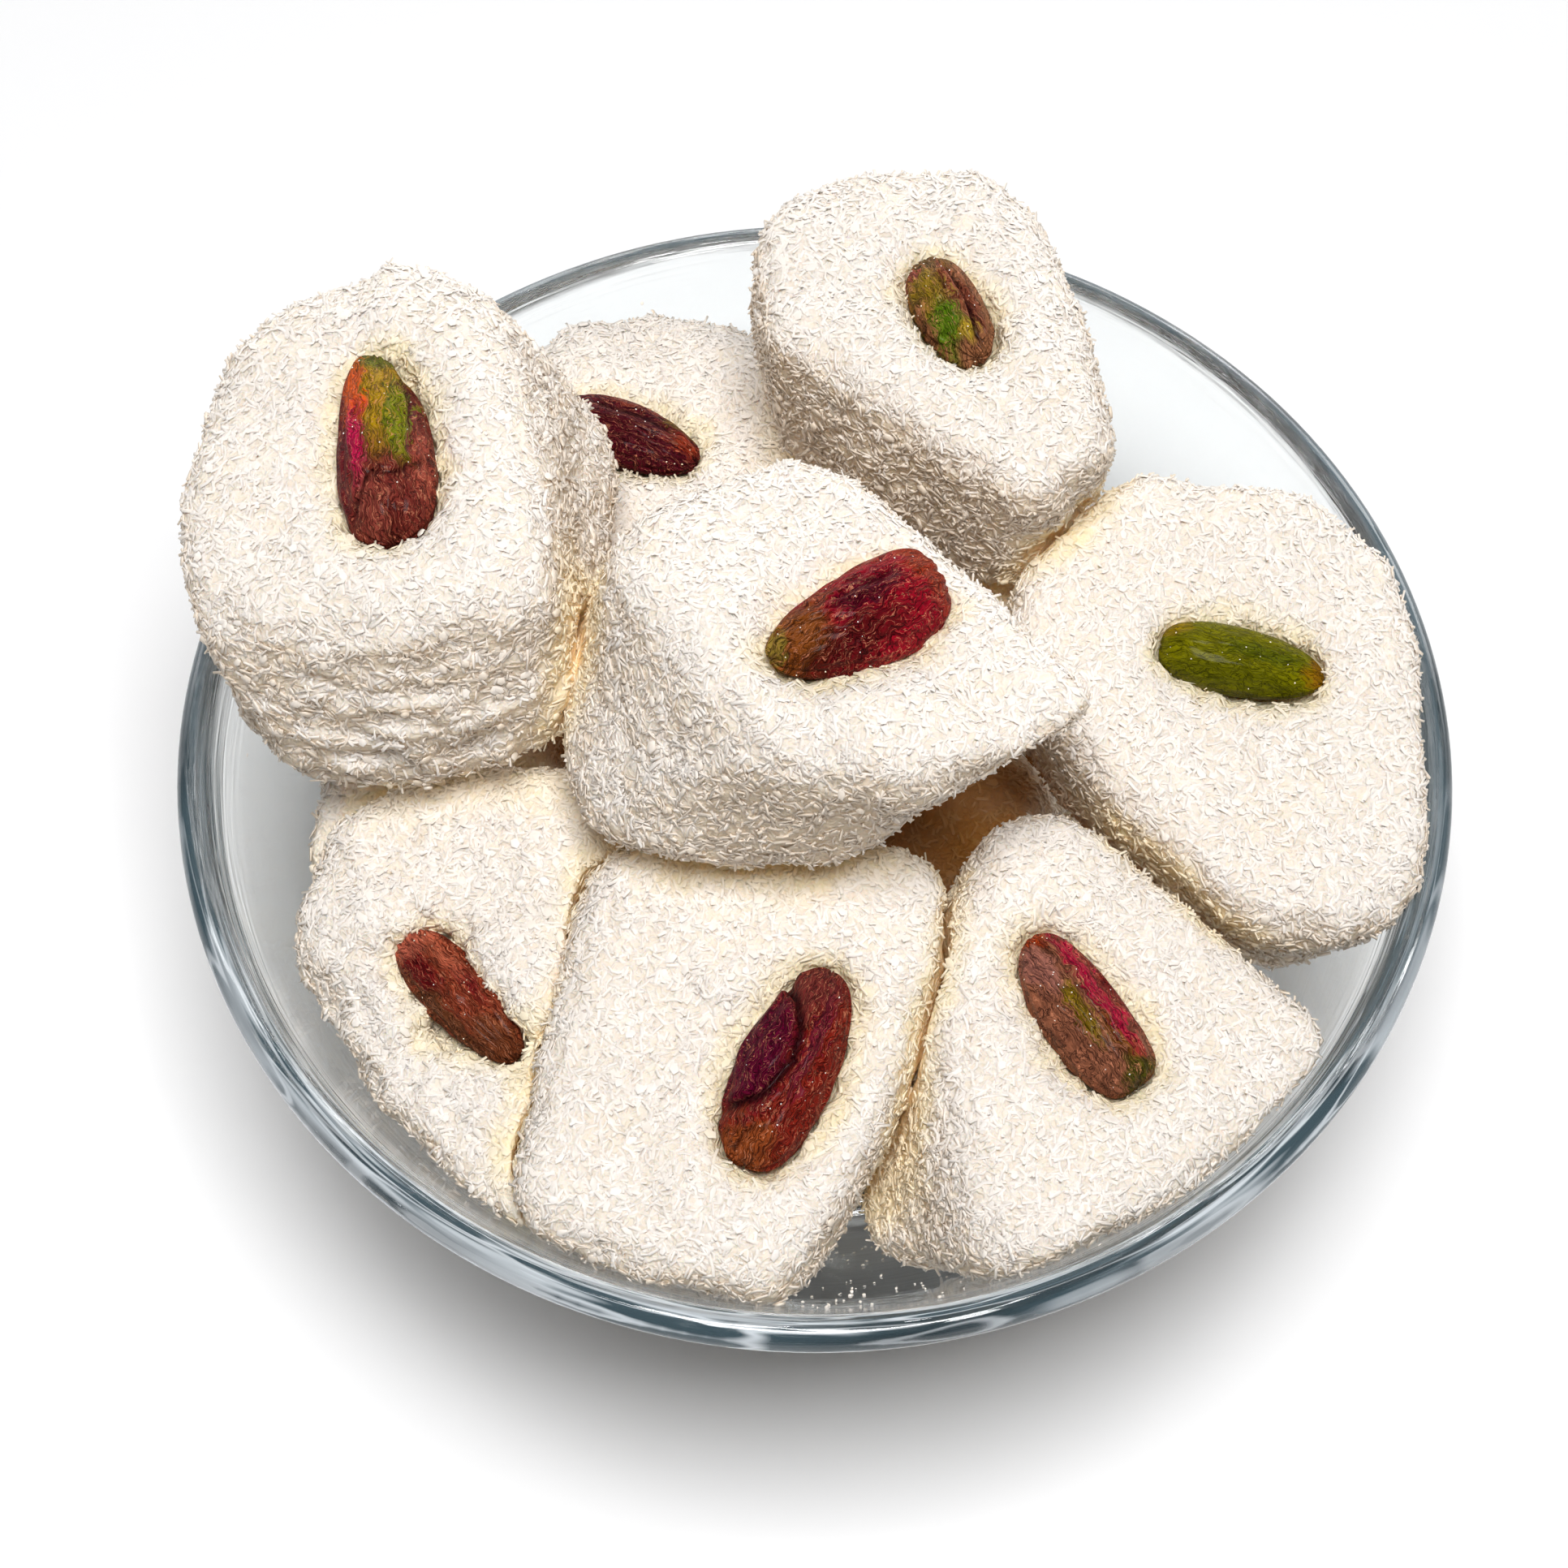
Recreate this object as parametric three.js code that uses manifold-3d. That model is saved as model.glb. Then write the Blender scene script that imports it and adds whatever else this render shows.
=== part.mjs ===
// A round glass bowl heaped with coconut-coated turkish delight, a pistachio kernel pressed into
// the top of each sweet that shows. Millimetres, +Z up, origin at the centre of the bowl's foot,
// front of the heap towards -Y.
import * as THREE from "three";
import { mergeVertices } from "three/addons/utils/BufferGeometryUtils.js";
import Module from "manifold-3d";

const wasm = await Module();
wasm.setup();

// ---------------------------------------------------------------- driving dimensions
const RIM_RADIUS = 60; // outside, at the lip
const BOWL_HEIGHT = 54;
const WALL = 3.4; // thickness, measured square to the wall
const FOOT_RADIUS = 26;
const FOOT_RING = 5; // width of the flat ring that the bowl stands on
const FOOT_RECESS = 0.8; // depth of the hollow inside that ring
const BELLY = [43, 17]; // radius and height that the wall's curve bends towards
const LIP_LEAN = 26; // degrees that the wall leans out where it meets the lip
const FLOOR_DISH = [[0.85, 1], [0.5, 2], [0, 2.2]]; // share of the floor's radius, drop below its edge
const BOWL_SEGMENTS = 48;
const WALL_STEPS = 7; // rows of flats up the wall
const LIP_TURNS = [0, 45, 90, 130]; // degrees round the lip at which it has a row of flats

const GAP = 0.3; // left between pieces that touch

const DEG = Math.PI / 180;

// Each sweet is given by the centre of its top face (at), the way that face leans (tilt degrees
// towards an angle, 0 = +X, 90 = +Y), its height, and the corners of its top face and of its base in
// its own frame, as [x, y, radius] anticlockwise. A kernel is given by its place on the top face,
// the angle that its pointed end turns to, how deep it sits, and half its length, width and
// thickness. Where two sweets press together, the one listed later gives way.
const SWEETS = [
  {
    name: "centre_top", at: [0, -1, 84], tilt: 10, towards: 60, height: 25.4,
    top: [[0, 21, 8], [-21.5, 4.5, 7], [-3, -17.5, 8], [12, -20, 7], [27, -11.5, 3]],
    base: [[0, 18, 8], [-22.5, 14, 8], [-22.5, -14, 9], [4, -13.5, 7], [14, 3, 6]],
    nut: { at: [3.2, -2.9], turn: -146, sink: 0, half: [8.7, 4.5, 4.1] },
  },
  {
    name: "left_upper", at: [-40.5, 18.5, 81], tilt: 11, towards: 172, height: 25,
    top: [[9.5, 18.8, 9], [-17.4, 19.6, 15], [-17.8, -21.5, 8], [19, -22, 8]],
    base: [[20.5, 15, 9], [-16, 18, 12], [-18, -27.5, 12], [15, -24, 8]],
    nut: { at: [1.4, -2.6], turn: 97, sink: 0.6, half: [10.3, 4.3, 4] },
  },
  {
    name: "back_upper", at: [11, 33, 79], tilt: 4, towards: 60, height: 25,
    top: [[10.4, 21.2, 11], [-17.5, 14.6, 7], [-16.8, -3, 5], [7.5, -21, 6], [17.4, -20.3, 6]],
    base: [[11, 16, 9], [-16, 13.5, 7], [-12.5, -2, 6], [8.5, -20, 5], [18, -4, 7]],
    nut: { at: [1.6, -0.1], turn: 114, sink: 1, half: [6, 3.2, 3] },
  },
  {
    name: "front_middle", at: [-7.5, -31, 57], tilt: 11, towards: 265, height: 25,
    top: [[21.6, 18.4, 5], [-13, 19.3, 5], [-21.5, -18, 6], [5.2, -27.6, 6], [18.3, 0, 14]],
    base: [[17, 16, 7], [-13, 16, 7], [-20, -12, 7], [5, -19, 7], [15, -2, 10]],
    nut: { at: [5, -3.4], turn: 66, sink: 0.5, half: [9.7, 4.3, 3.9] },
  },
  {
    name: "front_right", at: [27, -27, 57], tilt: 11, towards: 305, height: 25,
    top: [[-7, 22.6, 6], [-18.8, -1, 8], [-10, -31, 5], [26, -4.6, 5]],
    base: [[-9, 17, 7], [-17, 3, 7], [-25, -23, 6], [13, -14, 8]],
    nut: { at: [-2.6, -2], turn: 125, sink: 0.4, half: [8.2, 3.8, 3.6] },
  },
  {
    name: "right", at: [38, 3, 64], tilt: 10, towards: 285, height: 24,
    top: [[20.6, 24.4, 19], [-16, 18.8, 7], [-22.7, -1, 6], [2.5, -27, 9], [20.6, -25, 9]],
    base: [[9, 15, 10], [-13, 15, 7], [-17, -2, 6], [4, -23, 8], [14, -22, 8]],
    nut: { at: [1.6, 0.6], turn: 168, sink: 0.8, half: [7.7, 3.2, 3], peeled: true },
  },
  {
    name: "front_left", at: [-32, -19, 52.5], tilt: 17, towards: 225, height: 24,
    top: [[15, 18, 8], [-14.6, 17, 13], [-19, -3, 6], [3, -31.5, 8], [14, -29.5, 8]],
    base: [[14, 14, 8], [-9, 14, 8], [-14, -3, 6], [4, -21, 8], [14, -16, 8]],
    nut: { at: [-1.2, -5.7], turn: 131, sink: 1.4, half: [8, 3.1, 3] },
  },
  {
    name: "back_low", at: [-15, 36, 53], tilt: 6, towards: 90, height: 24,
    top: [[15.3, 18, 14], [-16, 18, 12], [-16, -16, 8], [15, -16, 8]],
    base: [[12, 8, 8], [-13, 8, 8], [-13, -16, 8], [13, -16, 8]],
    nut: { at: [-3, -0.5], turn: -24, sink: 0.6, half: [7.2, 3.3, 3.1] },
  },
  {
    name: "left_under", at: [-36, 5, 48.5], tilt: 5, towards: 190, height: 23,
    top: [[13, 18, 8], [-7.5, 18, 8], [-16, -27.5, 5], [12, -5, 7]],
    base: [[12, 15, 8], [-4, 11, 8], [-7, -14, 7], [12, -8, 8]],
  },
  {
    name: "middle_under", at: [9, -5, 39], tilt: 5, towards: 0, height: 17,
    top: [[16, 16, 7], [-15, 17, 7], [-16, -16, 7], [17, -15, 7]],
    base: [[15, 16, 7], [-15, 15, 7], [-15, -16, 7], [16, -15, 7]],
  },
  {
    name: "back_under", at: [15, 29, 53], tilt: 3, towards: 90, height: 24,
    top: [[13, 15, 7], [-14, 16, 7], [-14, -15, 7], [14, -16, 7]],
    base: [[11, 11, 7], [-12, 12, 7], [-13, -15, 7], [13, -15, 7]],
  },
  {
    name: "floor_left", at: [-17, -5, 26.5], tilt: 5, towards: 200, height: 20,
    top: [[15, 17, 7], [-15, 16, 7], [-14, -17, 7], [15, -16, 7]],
    base: [[15, 15, 7], [-13, 15, 7], [-13, -15, 7], [15, -15, 7]],
  },
  {
    name: "floor_right", at: [16, 3, 25.5], tilt: 4, towards: 20, height: 20,
    top: [[15, 16, 7], [-15, 17, 7], [-15, -16, 7], [16, -17, 7]],
    base: [[14, 14, 7], [-15, 15, 7], [-15, -15, 7], [14, -14, 7]],
  },
];

const TOP_EDGE = 5.5; // rounding of a sweet's upper edge
const BASE_EDGE = 5;
const CORNER_STEPS = 3; // flats round each corner
const TOP_SHARES = [0.35, 0.7]; // rings of the top face, as shares of its outline
const TOP_TURNS = [0, 30, 60, 90]; // degrees round the upper edge at which it has a ring
const BASE_TURNS = [90, 45, 0];
const WAIST = 0.55; // depth of the ring round the sides, as a share of the height
const SIDE_BULGE = 0.9; // how far a side swells at its middle
const DENT_DEPTH = 1.6; // of the hollow that the kernel makes
const DENT_RADIUS = 9;
const WOBBLE = 0.4; // unevenness of hand-cut faces

const NUT_SECTORS = 12; // round a kernel
const NUT_STATIONS = 7; // along it
const NUT_FULLNESS = 0.8; // below 1 the ends are blunter
const NUT_TAPER = 0.16; // how much slimmer the pointed end is
const NUT_PROUD = 0.35; // share of the half thickness that a kernel's middle stands above its dent

function finish(name, color, roughness, opacity = 1) {
  const transparent = opacity < 1;
  return new THREE.MeshStandardMaterial({ name, color, roughness, metalness: 0, transparent, opacity });
}
const COCONUT = finish("coconut", 0xf6efe2, 0.95);
const KERNEL_RED = finish("pistachio_red", 0x6e2a2c, 0.5);
const KERNEL_GREEN = finish("pistachio_green", 0x6e780c, 0.5);
const GLASS = finish("glass", 0xdfe8ea, 0.03, 0.35);

// ---------------------------------------------------------------- solids
// A closed geometry as a solid that can be joined and cut.
function toSolid(geometry) {
  const bare = geometry.clone();
  bare.deleteAttribute("normal");
  bare.deleteAttribute("uv");
  const merged = mergeVertices(bare, 1e-4);
  return new wasm.Manifold(
    new wasm.Mesh({
      numProp: 3,
      vertProperties: new Float32Array(merged.attributes.position.array),
      triVerts: new Uint32Array(merged.index.array),
    }),
  );
}

// A solid back as a geometry.
function toGeometry(solid) {
  const mesh = solid.getMesh();
  const geometry = new THREE.BufferGeometry();
  geometry.setAttribute("position", new THREE.BufferAttribute(new Float32Array(mesh.vertProperties), 3));
  geometry.setIndex(new THREE.BufferAttribute(new Uint32Array(mesh.triVerts), 1));
  geometry.computeVertexNormals();
  return geometry;
}

// The largest of the bodies that a cut leaves.
function largest(solid) {
  return solid.decompose().reduce((best, body) => (body.volume() > best.volume() ? body : best));
}

// A solid from rings of points between two poles, faces pointing out when each ring turns
// anticlockwise seen from the first pole.
function ringSolid(firstPole, rings, lastPole) {
  const count = rings[0].length;
  const points = [firstPole, ...rings.flat(), lastPole];
  const last = points.length - 1;
  const index = [];
  for (let j = 0; j < count; j++) {
    const next = (j + 1) % count;
    index.push(0, 1 + j, 1 + next);
    for (let i = 0; i < rings.length - 1; i++) {
      const a = 1 + i * count + j;
      const b = 1 + i * count + next;
      index.push(a, a + count, b + count, a, b + count, b);
    }
    const foot = 1 + (rings.length - 1) * count;
    index.push(last, foot + next, foot + j);
  }
  const geometry = new THREE.BufferGeometry();
  geometry.setAttribute("position", new THREE.Float32BufferAttribute(points.flat(), 3));
  geometry.setIndex(index);
  return geometry;
}

// ---------------------------------------------------------------- bowl
const HALF_WALL = WALL / 2;
const LIP_CENTRE = new THREE.Vector2(RIM_RADIUS - HALF_WALL, BOWL_HEIGHT - HALF_WALL);

// A point of the lip's round edge, moved out by grow.
function lipPoint(degrees, grow = 0) {
  const direction = new THREE.Vector2(Math.cos(degrees * DEG), Math.sin(degrees * DEG));
  return direction.multiplyScalar(HALF_WALL + grow).add(LIP_CENTRE);
}

// The outer wall's curve, from the foot's edge (t = 0) to the lip (t = 1).
function wallPoint(t) {
  const foot = new THREE.Vector2(FOOT_RADIUS, 0).multiplyScalar((1 - t) ** 2);
  const belly = new THREE.Vector2(...BELLY).multiplyScalar(2 * t * (1 - t));
  return lipPoint(-LIP_LEAN).multiplyScalar(t ** 2).add(belly).add(foot);
}

// Direction square to the outer wall, pointing away from the glass.
function wallNormal(t) {
  const step = 1e-3;
  const along = wallPoint(Math.min(1, t + step)).sub(wallPoint(Math.max(0, t - step))).normalize();
  return new THREE.Vector2(along.y, -along.x);
}

// The bowl's section swept round, every face moved out by grow.
function bowlGeometry(grow = 0) {
  const inner = FOOT_RADIUS - FOOT_RING;
  const profile = [
    new THREE.Vector2(0, FOOT_RECESS - grow),
    new THREE.Vector2(inner - FOOT_RECESS, FOOT_RECESS - grow),
    new THREE.Vector2(inner, -grow),
    new THREE.Vector2(FOOT_RADIUS - 1, -grow),
  ];
  for (let i = 0; i <= WALL_STEPS; i++) {
    const point = wallPoint(i / WALL_STEPS).addScaledVector(wallNormal(i / WALL_STEPS), grow);
    profile.push(new THREE.Vector2(point.x, Math.max(-grow, point.y)));
  }
  for (const degrees of LIP_TURNS) profile.push(lipPoint(degrees, grow));
  for (let i = WALL_STEPS; i >= 1; i--) {
    profile.push(wallPoint(i / WALL_STEPS).addScaledVector(wallNormal(i / WALL_STEPS), -WALL - grow));
  }
  const floor = profile[profile.length - 1];
  for (const [share, drop] of FLOOR_DISH) {
    profile.push(new THREE.Vector2(floor.x * share, floor.y - drop));
  }
  return new THREE.LatheGeometry(profile, BOWL_SEGMENTS).rotateX(90 * DEG);
}

// ---------------------------------------------------------------- sweets
// Points round a polygon with rounded corners, each side swelling a little at its middle.
function roundedOutline(corners) {
  const arcs = corners.map(([x, y, radius], k) => {
    const corner = new THREE.Vector2(x, y);
    const before = new THREE.Vector2(...corners.at(k - 1)).sub(corner).normalize();
    const after = new THREE.Vector2(...corners[(k + 1) % corners.length]).sub(corner).normalize();
    const half = Math.acos(before.dot(after)) / 2;
    const centre = before.clone().add(after).setLength(radius / Math.sin(half)).add(corner);
    const start = before.setLength(radius / Math.tan(half)).add(corner);
    return Array.from({ length: CORNER_STEPS + 1 }, (_, i) =>
      start.clone().rotateAround(centre, ((Math.PI - 2 * half) * i) / CORNER_STEPS),
    );
  });
  return arcs.flatMap((arc, k) => {
    const side = arcs[(k + 1) % arcs.length][0].clone().sub(arc.at(-1));
    const outwards = new THREE.Vector2(side.y, -side.x).setLength(SIDE_BULGE);
    return [...arc, outwards.add(arc.at(-1)).addScaledVector(side, 0.5)];
  });
}

// Slow waves over a sweet's skin, in mm, different for each seed.
function wobble(x, y, z, seed) {
  return (
    WOBBLE *
    (Math.sin(0.31 * x + 1.7 * seed) * Math.cos(0.27 * y + 2.3 * seed) +
      0.7 * Math.sin(0.53 * y + 0.41 * z + 0.9 * seed) +
      0.5 * Math.cos(0.62 * x - 0.47 * z + 3.1 * seed))
  );
}

// A sweet in its own frame: top face centred on the origin, body below it, every face moved out by grow.
function sweetGeometry(sweet, seed, grow = 0) {
  const top = roundedOutline(sweet.top);
  const base = roundedOutline(sweet.base);
  const dentAt = new THREE.Vector2(...(sweet.nut?.at ?? [0, 0]));

  // The outline at a depth, drawn in by inset towards the middle, or to a share of its size.
  const ring = (depth, inset, share = 1) =>
    top.map((point, j) => {
      const flat = point.clone().lerp(base[j], depth / sweet.height);
      const wave = wobble(flat.x, flat.y, depth, seed);
      flat.setLength(share * (flat.length() - inset + wave) + grow * (share === 1));
      const upper = Math.max(0, 1 - (2 * depth) / sweet.height);
      const dent = DENT_DEPTH * Math.exp(-flat.distanceToSquared(dentAt) / DENT_RADIUS ** 2);
      const lift = upper > 0 ? grow + upper * (wave - dent) : -grow;
      return [flat.x, flat.y, lift - depth];
    });
  const middle = (points) => points.reduce((sum, point) => sum + point[2], 0) / points.length;

  const edge = (radius, turn) => [
    radius * (1 - Math.cos(turn * DEG)),
    radius * (1 - Math.sin(turn * DEG)),
  ];
  const rings = TOP_SHARES.map((share) => ring(0, TOP_EDGE, share));
  for (const turn of TOP_TURNS) rings.push(ring(...edge(TOP_EDGE, turn)));
  rings.push(ring(sweet.height * WAIST, 0));
  for (const turn of BASE_TURNS) {
    const [rise, inset] = edge(BASE_EDGE, turn);
    rings.push(ring(sweet.height - rise, inset));
  }
  return ringSolid([0, 0, middle(rings[0]) - DENT_DEPTH / 4], rings, [0, 0, middle(rings.at(-1))]);
}

// A kernel along X, slimmer towards +X, every face moved out by grow.
function nutGeometry(nut, grow = 0) {
  const [a, b, c] = nut.half.map((half) => half + grow);
  const station = (t) => {
    const along = Math.cos(Math.PI * t);
    const girth = Math.sin(Math.PI * t) ** NUT_FULLNESS * (1 - NUT_TAPER * along);
    return Array.from({ length: NUT_SECTORS }, (_, j) => {
      const angle = (2 * Math.PI * j) / NUT_SECTORS;
      return [a * along, b * girth * Math.cos(angle), c * girth * Math.sin(angle)];
    });
  };
  const rings = Array.from({ length: NUT_STATIONS }, (_, i) => station((i + 1) / (NUT_STATIONS + 1)));
  return ringSolid([a, 0, 0], rings, [-a, 0, 0]);
}

// Turns and moves a geometry from a sweet's own frame into the bowl's.
function placement(sweet) {
  const lean = new THREE.Matrix4().makeRotationAxis(
    new THREE.Vector3(-Math.sin(sweet.towards * DEG), Math.cos(sweet.towards * DEG), 0),
    sweet.tilt * DEG,
  );
  return new THREE.Matrix4().makeTranslation(...sweet.at).multiply(lean);
}

// A kernel's place in its sweet's frame.
function nutPlacement(nut) {
  const height = nut.half[2] * NUT_PROUD - DENT_DEPTH - nut.sink;
  const move = new THREE.Matrix4().makeTranslation(...nut.at, height);
  return move.multiply(new THREE.Matrix4().makeRotationZ(nut.turn * DEG));
}

// ---------------------------------------------------------------- the object
const delight = new THREE.Group();

function addMesh(name, geometry, material) {
  const mesh = new THREE.Mesh(geometry, material);
  mesh.name = name;
  delight.add(mesh);
  return mesh;
}

addMesh("bowl", toGeometry(toSolid(bowlGeometry())), GLASS);
const hollow = toSolid(bowlGeometry(GAP));

const placed = SWEETS.map((sweet, index) => {
  const seed = index + 1;
  const where = placement(sweet);
  const body = toSolid(sweetGeometry(sweet, seed).applyMatrix4(where));
  const grown = toSolid(sweetGeometry(sweet, seed, GAP).applyMatrix4(where));
  if (!sweet.nut) return { sweet, body, grown };
  const nutWhere = where.clone().multiply(nutPlacement(sweet.nut));
  const nut = nutGeometry(sweet.nut).applyMatrix4(nutWhere);
  const pocket = toSolid(nutGeometry(sweet.nut, GAP).applyMatrix4(nutWhere));
  return { sweet, body: body.subtract(pocket), grown, nut };
});

// Where sweets press together, the one listed later gives way.
placed.forEach(({ sweet, body, nut }, index) => {
  let rest = body.subtract(hollow);
  for (const above of placed.slice(0, index)) rest = rest.subtract(above.grown);
  addMesh(`sweet_${sweet.name}`, toGeometry(largest(rest)), COCONUT);
  if (nut) addMesh(`pistachio_${sweet.name}`, nut, sweet.nut.peeled ? KERNEL_GREEN : KERNEL_RED);
});

export default delight;
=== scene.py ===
"""Coconut-coated turkish delight with pistachio kernels, heaped in a round glass bowl."""

import logging
import math
from dataclasses import dataclass
from enum import Enum
from typing import Callable, Iterable

import bmesh
import bpy
import numpy as np
from bmesh.types import BMesh, BMFace
from bpy.types import Material, Mesh, Node, NodeSocket, Object, World
from mathutils import Matrix, Vector, noise
from mathutils.bvhtree import BVHTree
from mathutils.kdtree import KDTree


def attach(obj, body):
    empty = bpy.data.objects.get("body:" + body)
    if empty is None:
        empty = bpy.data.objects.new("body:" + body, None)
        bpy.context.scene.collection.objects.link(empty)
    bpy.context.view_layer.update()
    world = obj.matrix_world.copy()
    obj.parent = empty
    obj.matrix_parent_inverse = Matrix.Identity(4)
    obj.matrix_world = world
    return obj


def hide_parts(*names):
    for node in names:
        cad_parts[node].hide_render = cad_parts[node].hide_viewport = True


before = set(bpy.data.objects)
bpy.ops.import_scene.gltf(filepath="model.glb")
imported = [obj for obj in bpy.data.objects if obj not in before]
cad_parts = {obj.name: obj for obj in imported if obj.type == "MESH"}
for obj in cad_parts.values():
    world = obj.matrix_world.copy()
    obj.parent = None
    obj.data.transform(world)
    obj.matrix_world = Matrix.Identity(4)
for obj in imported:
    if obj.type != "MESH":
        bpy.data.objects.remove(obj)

MM = 0.001
SEED = 61
BODY = "root"
WELD = 0.002 * MM

log = logging.getLogger("delight")

Pair = tuple[float, float]
Triple = tuple[float, float, float]
Colour = Triple
Number = "float | Field"
Shade = "Colour | NodeSocket"


def srgb(red: int, green: int, blue: int) -> Colour:
    """Returns a colour, given as screen values up to 255, in linear light."""
    return tuple((value / 255) ** 2.2 for value in (red, green, blue))


# ---------------------------------------------------------------- shader maths
def arithmetic(operation: str, swapped: bool = False) -> "Callable[[Field, Number], Field]":
    """Makes a method of Field that adds one Math node.

    Args:
        operation: the node's operation.
        swapped: whether the field is the second of the two values.

    Returns:
        The method.
    """

    def method(self: "Field", other: Number = 0.0) -> "Field":
        """Adds the node.

        Args:
            other: the second value, or the first where they are swapped.

        Returns:
            The node's result.
        """
        first, second = (other, self) if swapped else (self, other)
        node = self.graph.node("ShaderNodeMath", {"operation": operation}, {0: first, 1: second})
        return Field(self.graph, node.outputs[0])

    return method


class Field:
    """A number that varies over a surface, written with ordinary arithmetic."""

    def __init__(self, graph: "Graph", socket: NodeSocket) -> None:
        """Wraps a socket of the graph."""
        self.graph = graph
        self.socket = socket

    __add__ = __radd__ = arithmetic("ADD")
    __sub__ = arithmetic("SUBTRACT")
    __rsub__ = arithmetic("SUBTRACT", swapped=True)
    __mul__ = __rmul__ = arithmetic("MULTIPLY")
    __truediv__ = arithmetic("DIVIDE")
    __pow__ = arithmetic("POWER")
    __abs__ = arithmetic("ABSOLUTE")

    def ease(self, low: float, high: float) -> "Field":
        """Rises smoothly between two values, or falls where low is the larger.

        Args:
            low: where the result is 0.
            high: where the result is 1.

        Returns:
            The eased field.
        """
        inputs = {"Value": self, "From Min": low, "From Max": high}
        node = self.graph.node("ShaderNodeMapRange", {"interpolation_type": "SMOOTHSTEP"}, inputs)
        return Field(self.graph, node.outputs[0])


class Graph:
    """The nodes of one material, or of the world."""

    def __init__(self, owner: Material | World) -> None:
        """Empties the nodes of their owner.

        Args:
            owner: the material or the world.
        """
        self.owner = owner
        owner.use_nodes = True
        self.tree = owner.node_tree
        self.tree.nodes.clear()

    @classmethod
    def of_material(cls, name: str) -> "Graph":
        """Returns the empty nodes of a new material of that name."""
        return cls(bpy.data.materials.new(name))

    def node(self, kind: str, settings: dict | None = None, inputs: dict | None = None) -> Node:
        """Adds a node.

        Args:
            kind: the node's type.
            settings: its properties, set first.
            inputs: values or links of its sockets, by name or number.

        Returns:
            The new node.
        """
        node = self.tree.nodes.new(kind)
        for key, value in (settings or {}).items():
            setattr(node, key, value)
        for key, value in (inputs or {}).items():
            source = value.socket if isinstance(value, Field) else value
            if isinstance(source, NodeSocket):
                self.tree.links.new(source, node.inputs[key])
            elif isinstance(source, tuple) and node.inputs[key].type == "RGBA":
                node.inputs[key].default_value = (*source[:3], 1.0)
            else:
                node.inputs[key].default_value = source
        return node

    def place(self) -> NodeSocket:
        """Returns the point of the surface, in metres."""
        return self.node("ShaderNodeTexCoord").outputs["Object"]

    def parts(self, vector: NodeSocket) -> tuple[Field, ...]:
        """Returns the three numbers of a vector."""
        split = self.node("ShaderNodeSeparateXYZ", None, {0: vector})
        return tuple(Field(self, part) for part in split.outputs)

    def attribute(self, name: str) -> Field:
        """Returns a number stored on the mesh."""
        node = self.node("ShaderNodeAttribute", {"attribute_name": name})
        return Field(self, node.outputs["Fac"])

    def vector(self, x: Number, y: Number, z: Number = 0.0) -> NodeSocket:
        """Returns a vector made of three numbers."""
        return self.node("ShaderNodeCombineXYZ", None, {0: x, 1: y, 2: z}).outputs[0]

    def shifted(self, vector: NodeSocket, by: Triple) -> NodeSocket:
        """Returns a vector moved by a fixed step."""
        node = self.node("ShaderNodeVectorMath", {"operation": "ADD"}, {0: vector, 1: by})
        return node.outputs[0]

    def noise(self, vector: NodeSocket, scale: float, detail: float) -> Field:
        """Returns soft noise round 0.5, of scale waves to a unit, with finer layers for more detail."""
        inputs = {"Vector": vector, "Scale": scale, "Detail": detail}
        return Field(self, self.node("ShaderNodeTexNoise", None, inputs).outputs[0])

    def threads(self, vector: NodeSocket, scale: float, width: float, detail: float) -> Field:
        """Returns 1 along winding threads, as wide as a share of the noise's swing, and 0 between."""
        return abs(self.noise(vector, scale, detail) - 0.5).ease(width, 0.0)

    def mix(self, share: Number, low: Shade, high: Shade) -> NodeSocket:
        """Returns the low colour with a share of the high one over it."""
        return self.node("ShaderNodeMix", {"data_type": "RGBA"}, {0: share, 6: low, 7: high}).outputs[2]

    def bump(self, height: Number, distance: float) -> NodeSocket:
        """Returns the normal, bent by a relief from 0 to 1 whose depth is the distance."""
        inputs = {"Height": height, "Distance": distance, "Strength": 1.0}
        return self.node("ShaderNodeBump", None, inputs).outputs[0]

    def surface(self, inputs: dict) -> Material:
        """Ends the material in one Principled shader with these inputs, and returns it."""
        return self.finish(self.node("ShaderNodeBsdfPrincipled", None, inputs))

    def finish(self, shader: Node) -> Material:
        """Ends the material in a shader node and returns it."""
        self.node("ShaderNodeOutputMaterial", None, {"Surface": shader.outputs[0]})
        return self.owner


# ---------------------------------------------------------------- finishes
@dataclass(frozen=True)
class PaintedShadeTones:
    """Painted shade for coconut: darker, warmer colours laid on it by where it lies in the heap, standing
    in for the shade there and for the warm light that bounces between the sweets.

    The first colour is painted shade on upright sides, the second painted warm shade where two sweets
    nearly touch, and the third painted deep shade in a deep hollow low in the heap. Each pair says where
    its colour starts and where it is full.
    """

    side: Colour
    seam_warm_shade: Colour
    cave_shade: Colour
    steep: Pair = (0.3, 0.95)
    side_shade_share: float = 0.8
    narrow: Pair = (0.12, 0.55)
    seam_warm_shade_share: float = 0.85
    cave: Pair = (0.5, 0.9)
    low: Pair = (56 * MM, 44 * MM)

    def over(self, graph: Graph, colour: Shade) -> NodeSocket:
        """Lays the painted shade over coconut.

        Args:
            graph: the nodes of its material.
            colour: its colour in the open.

        Returns:
            The colour for every place.
        """
        low = graph.parts(graph.place())[2].ease(*self.low)
        steep = graph.attribute("steep").ease(*self.steep)
        narrow = graph.attribute("narrow").ease(*self.narrow)
        cave = graph.attribute("cave").ease(*self.cave)
        # Painted shade on upright sides.
        colour = graph.mix(steep * self.side_shade_share, colour, self.side)
        # Painted warm shade where two sweets nearly touch.
        colour = graph.mix(narrow * self.seam_warm_shade_share, colour, self.seam_warm_shade)
        # Painted deep shade in a hollow low in the heap.
        return graph.mix(cave * low, colour, self.cave_shade)


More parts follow.
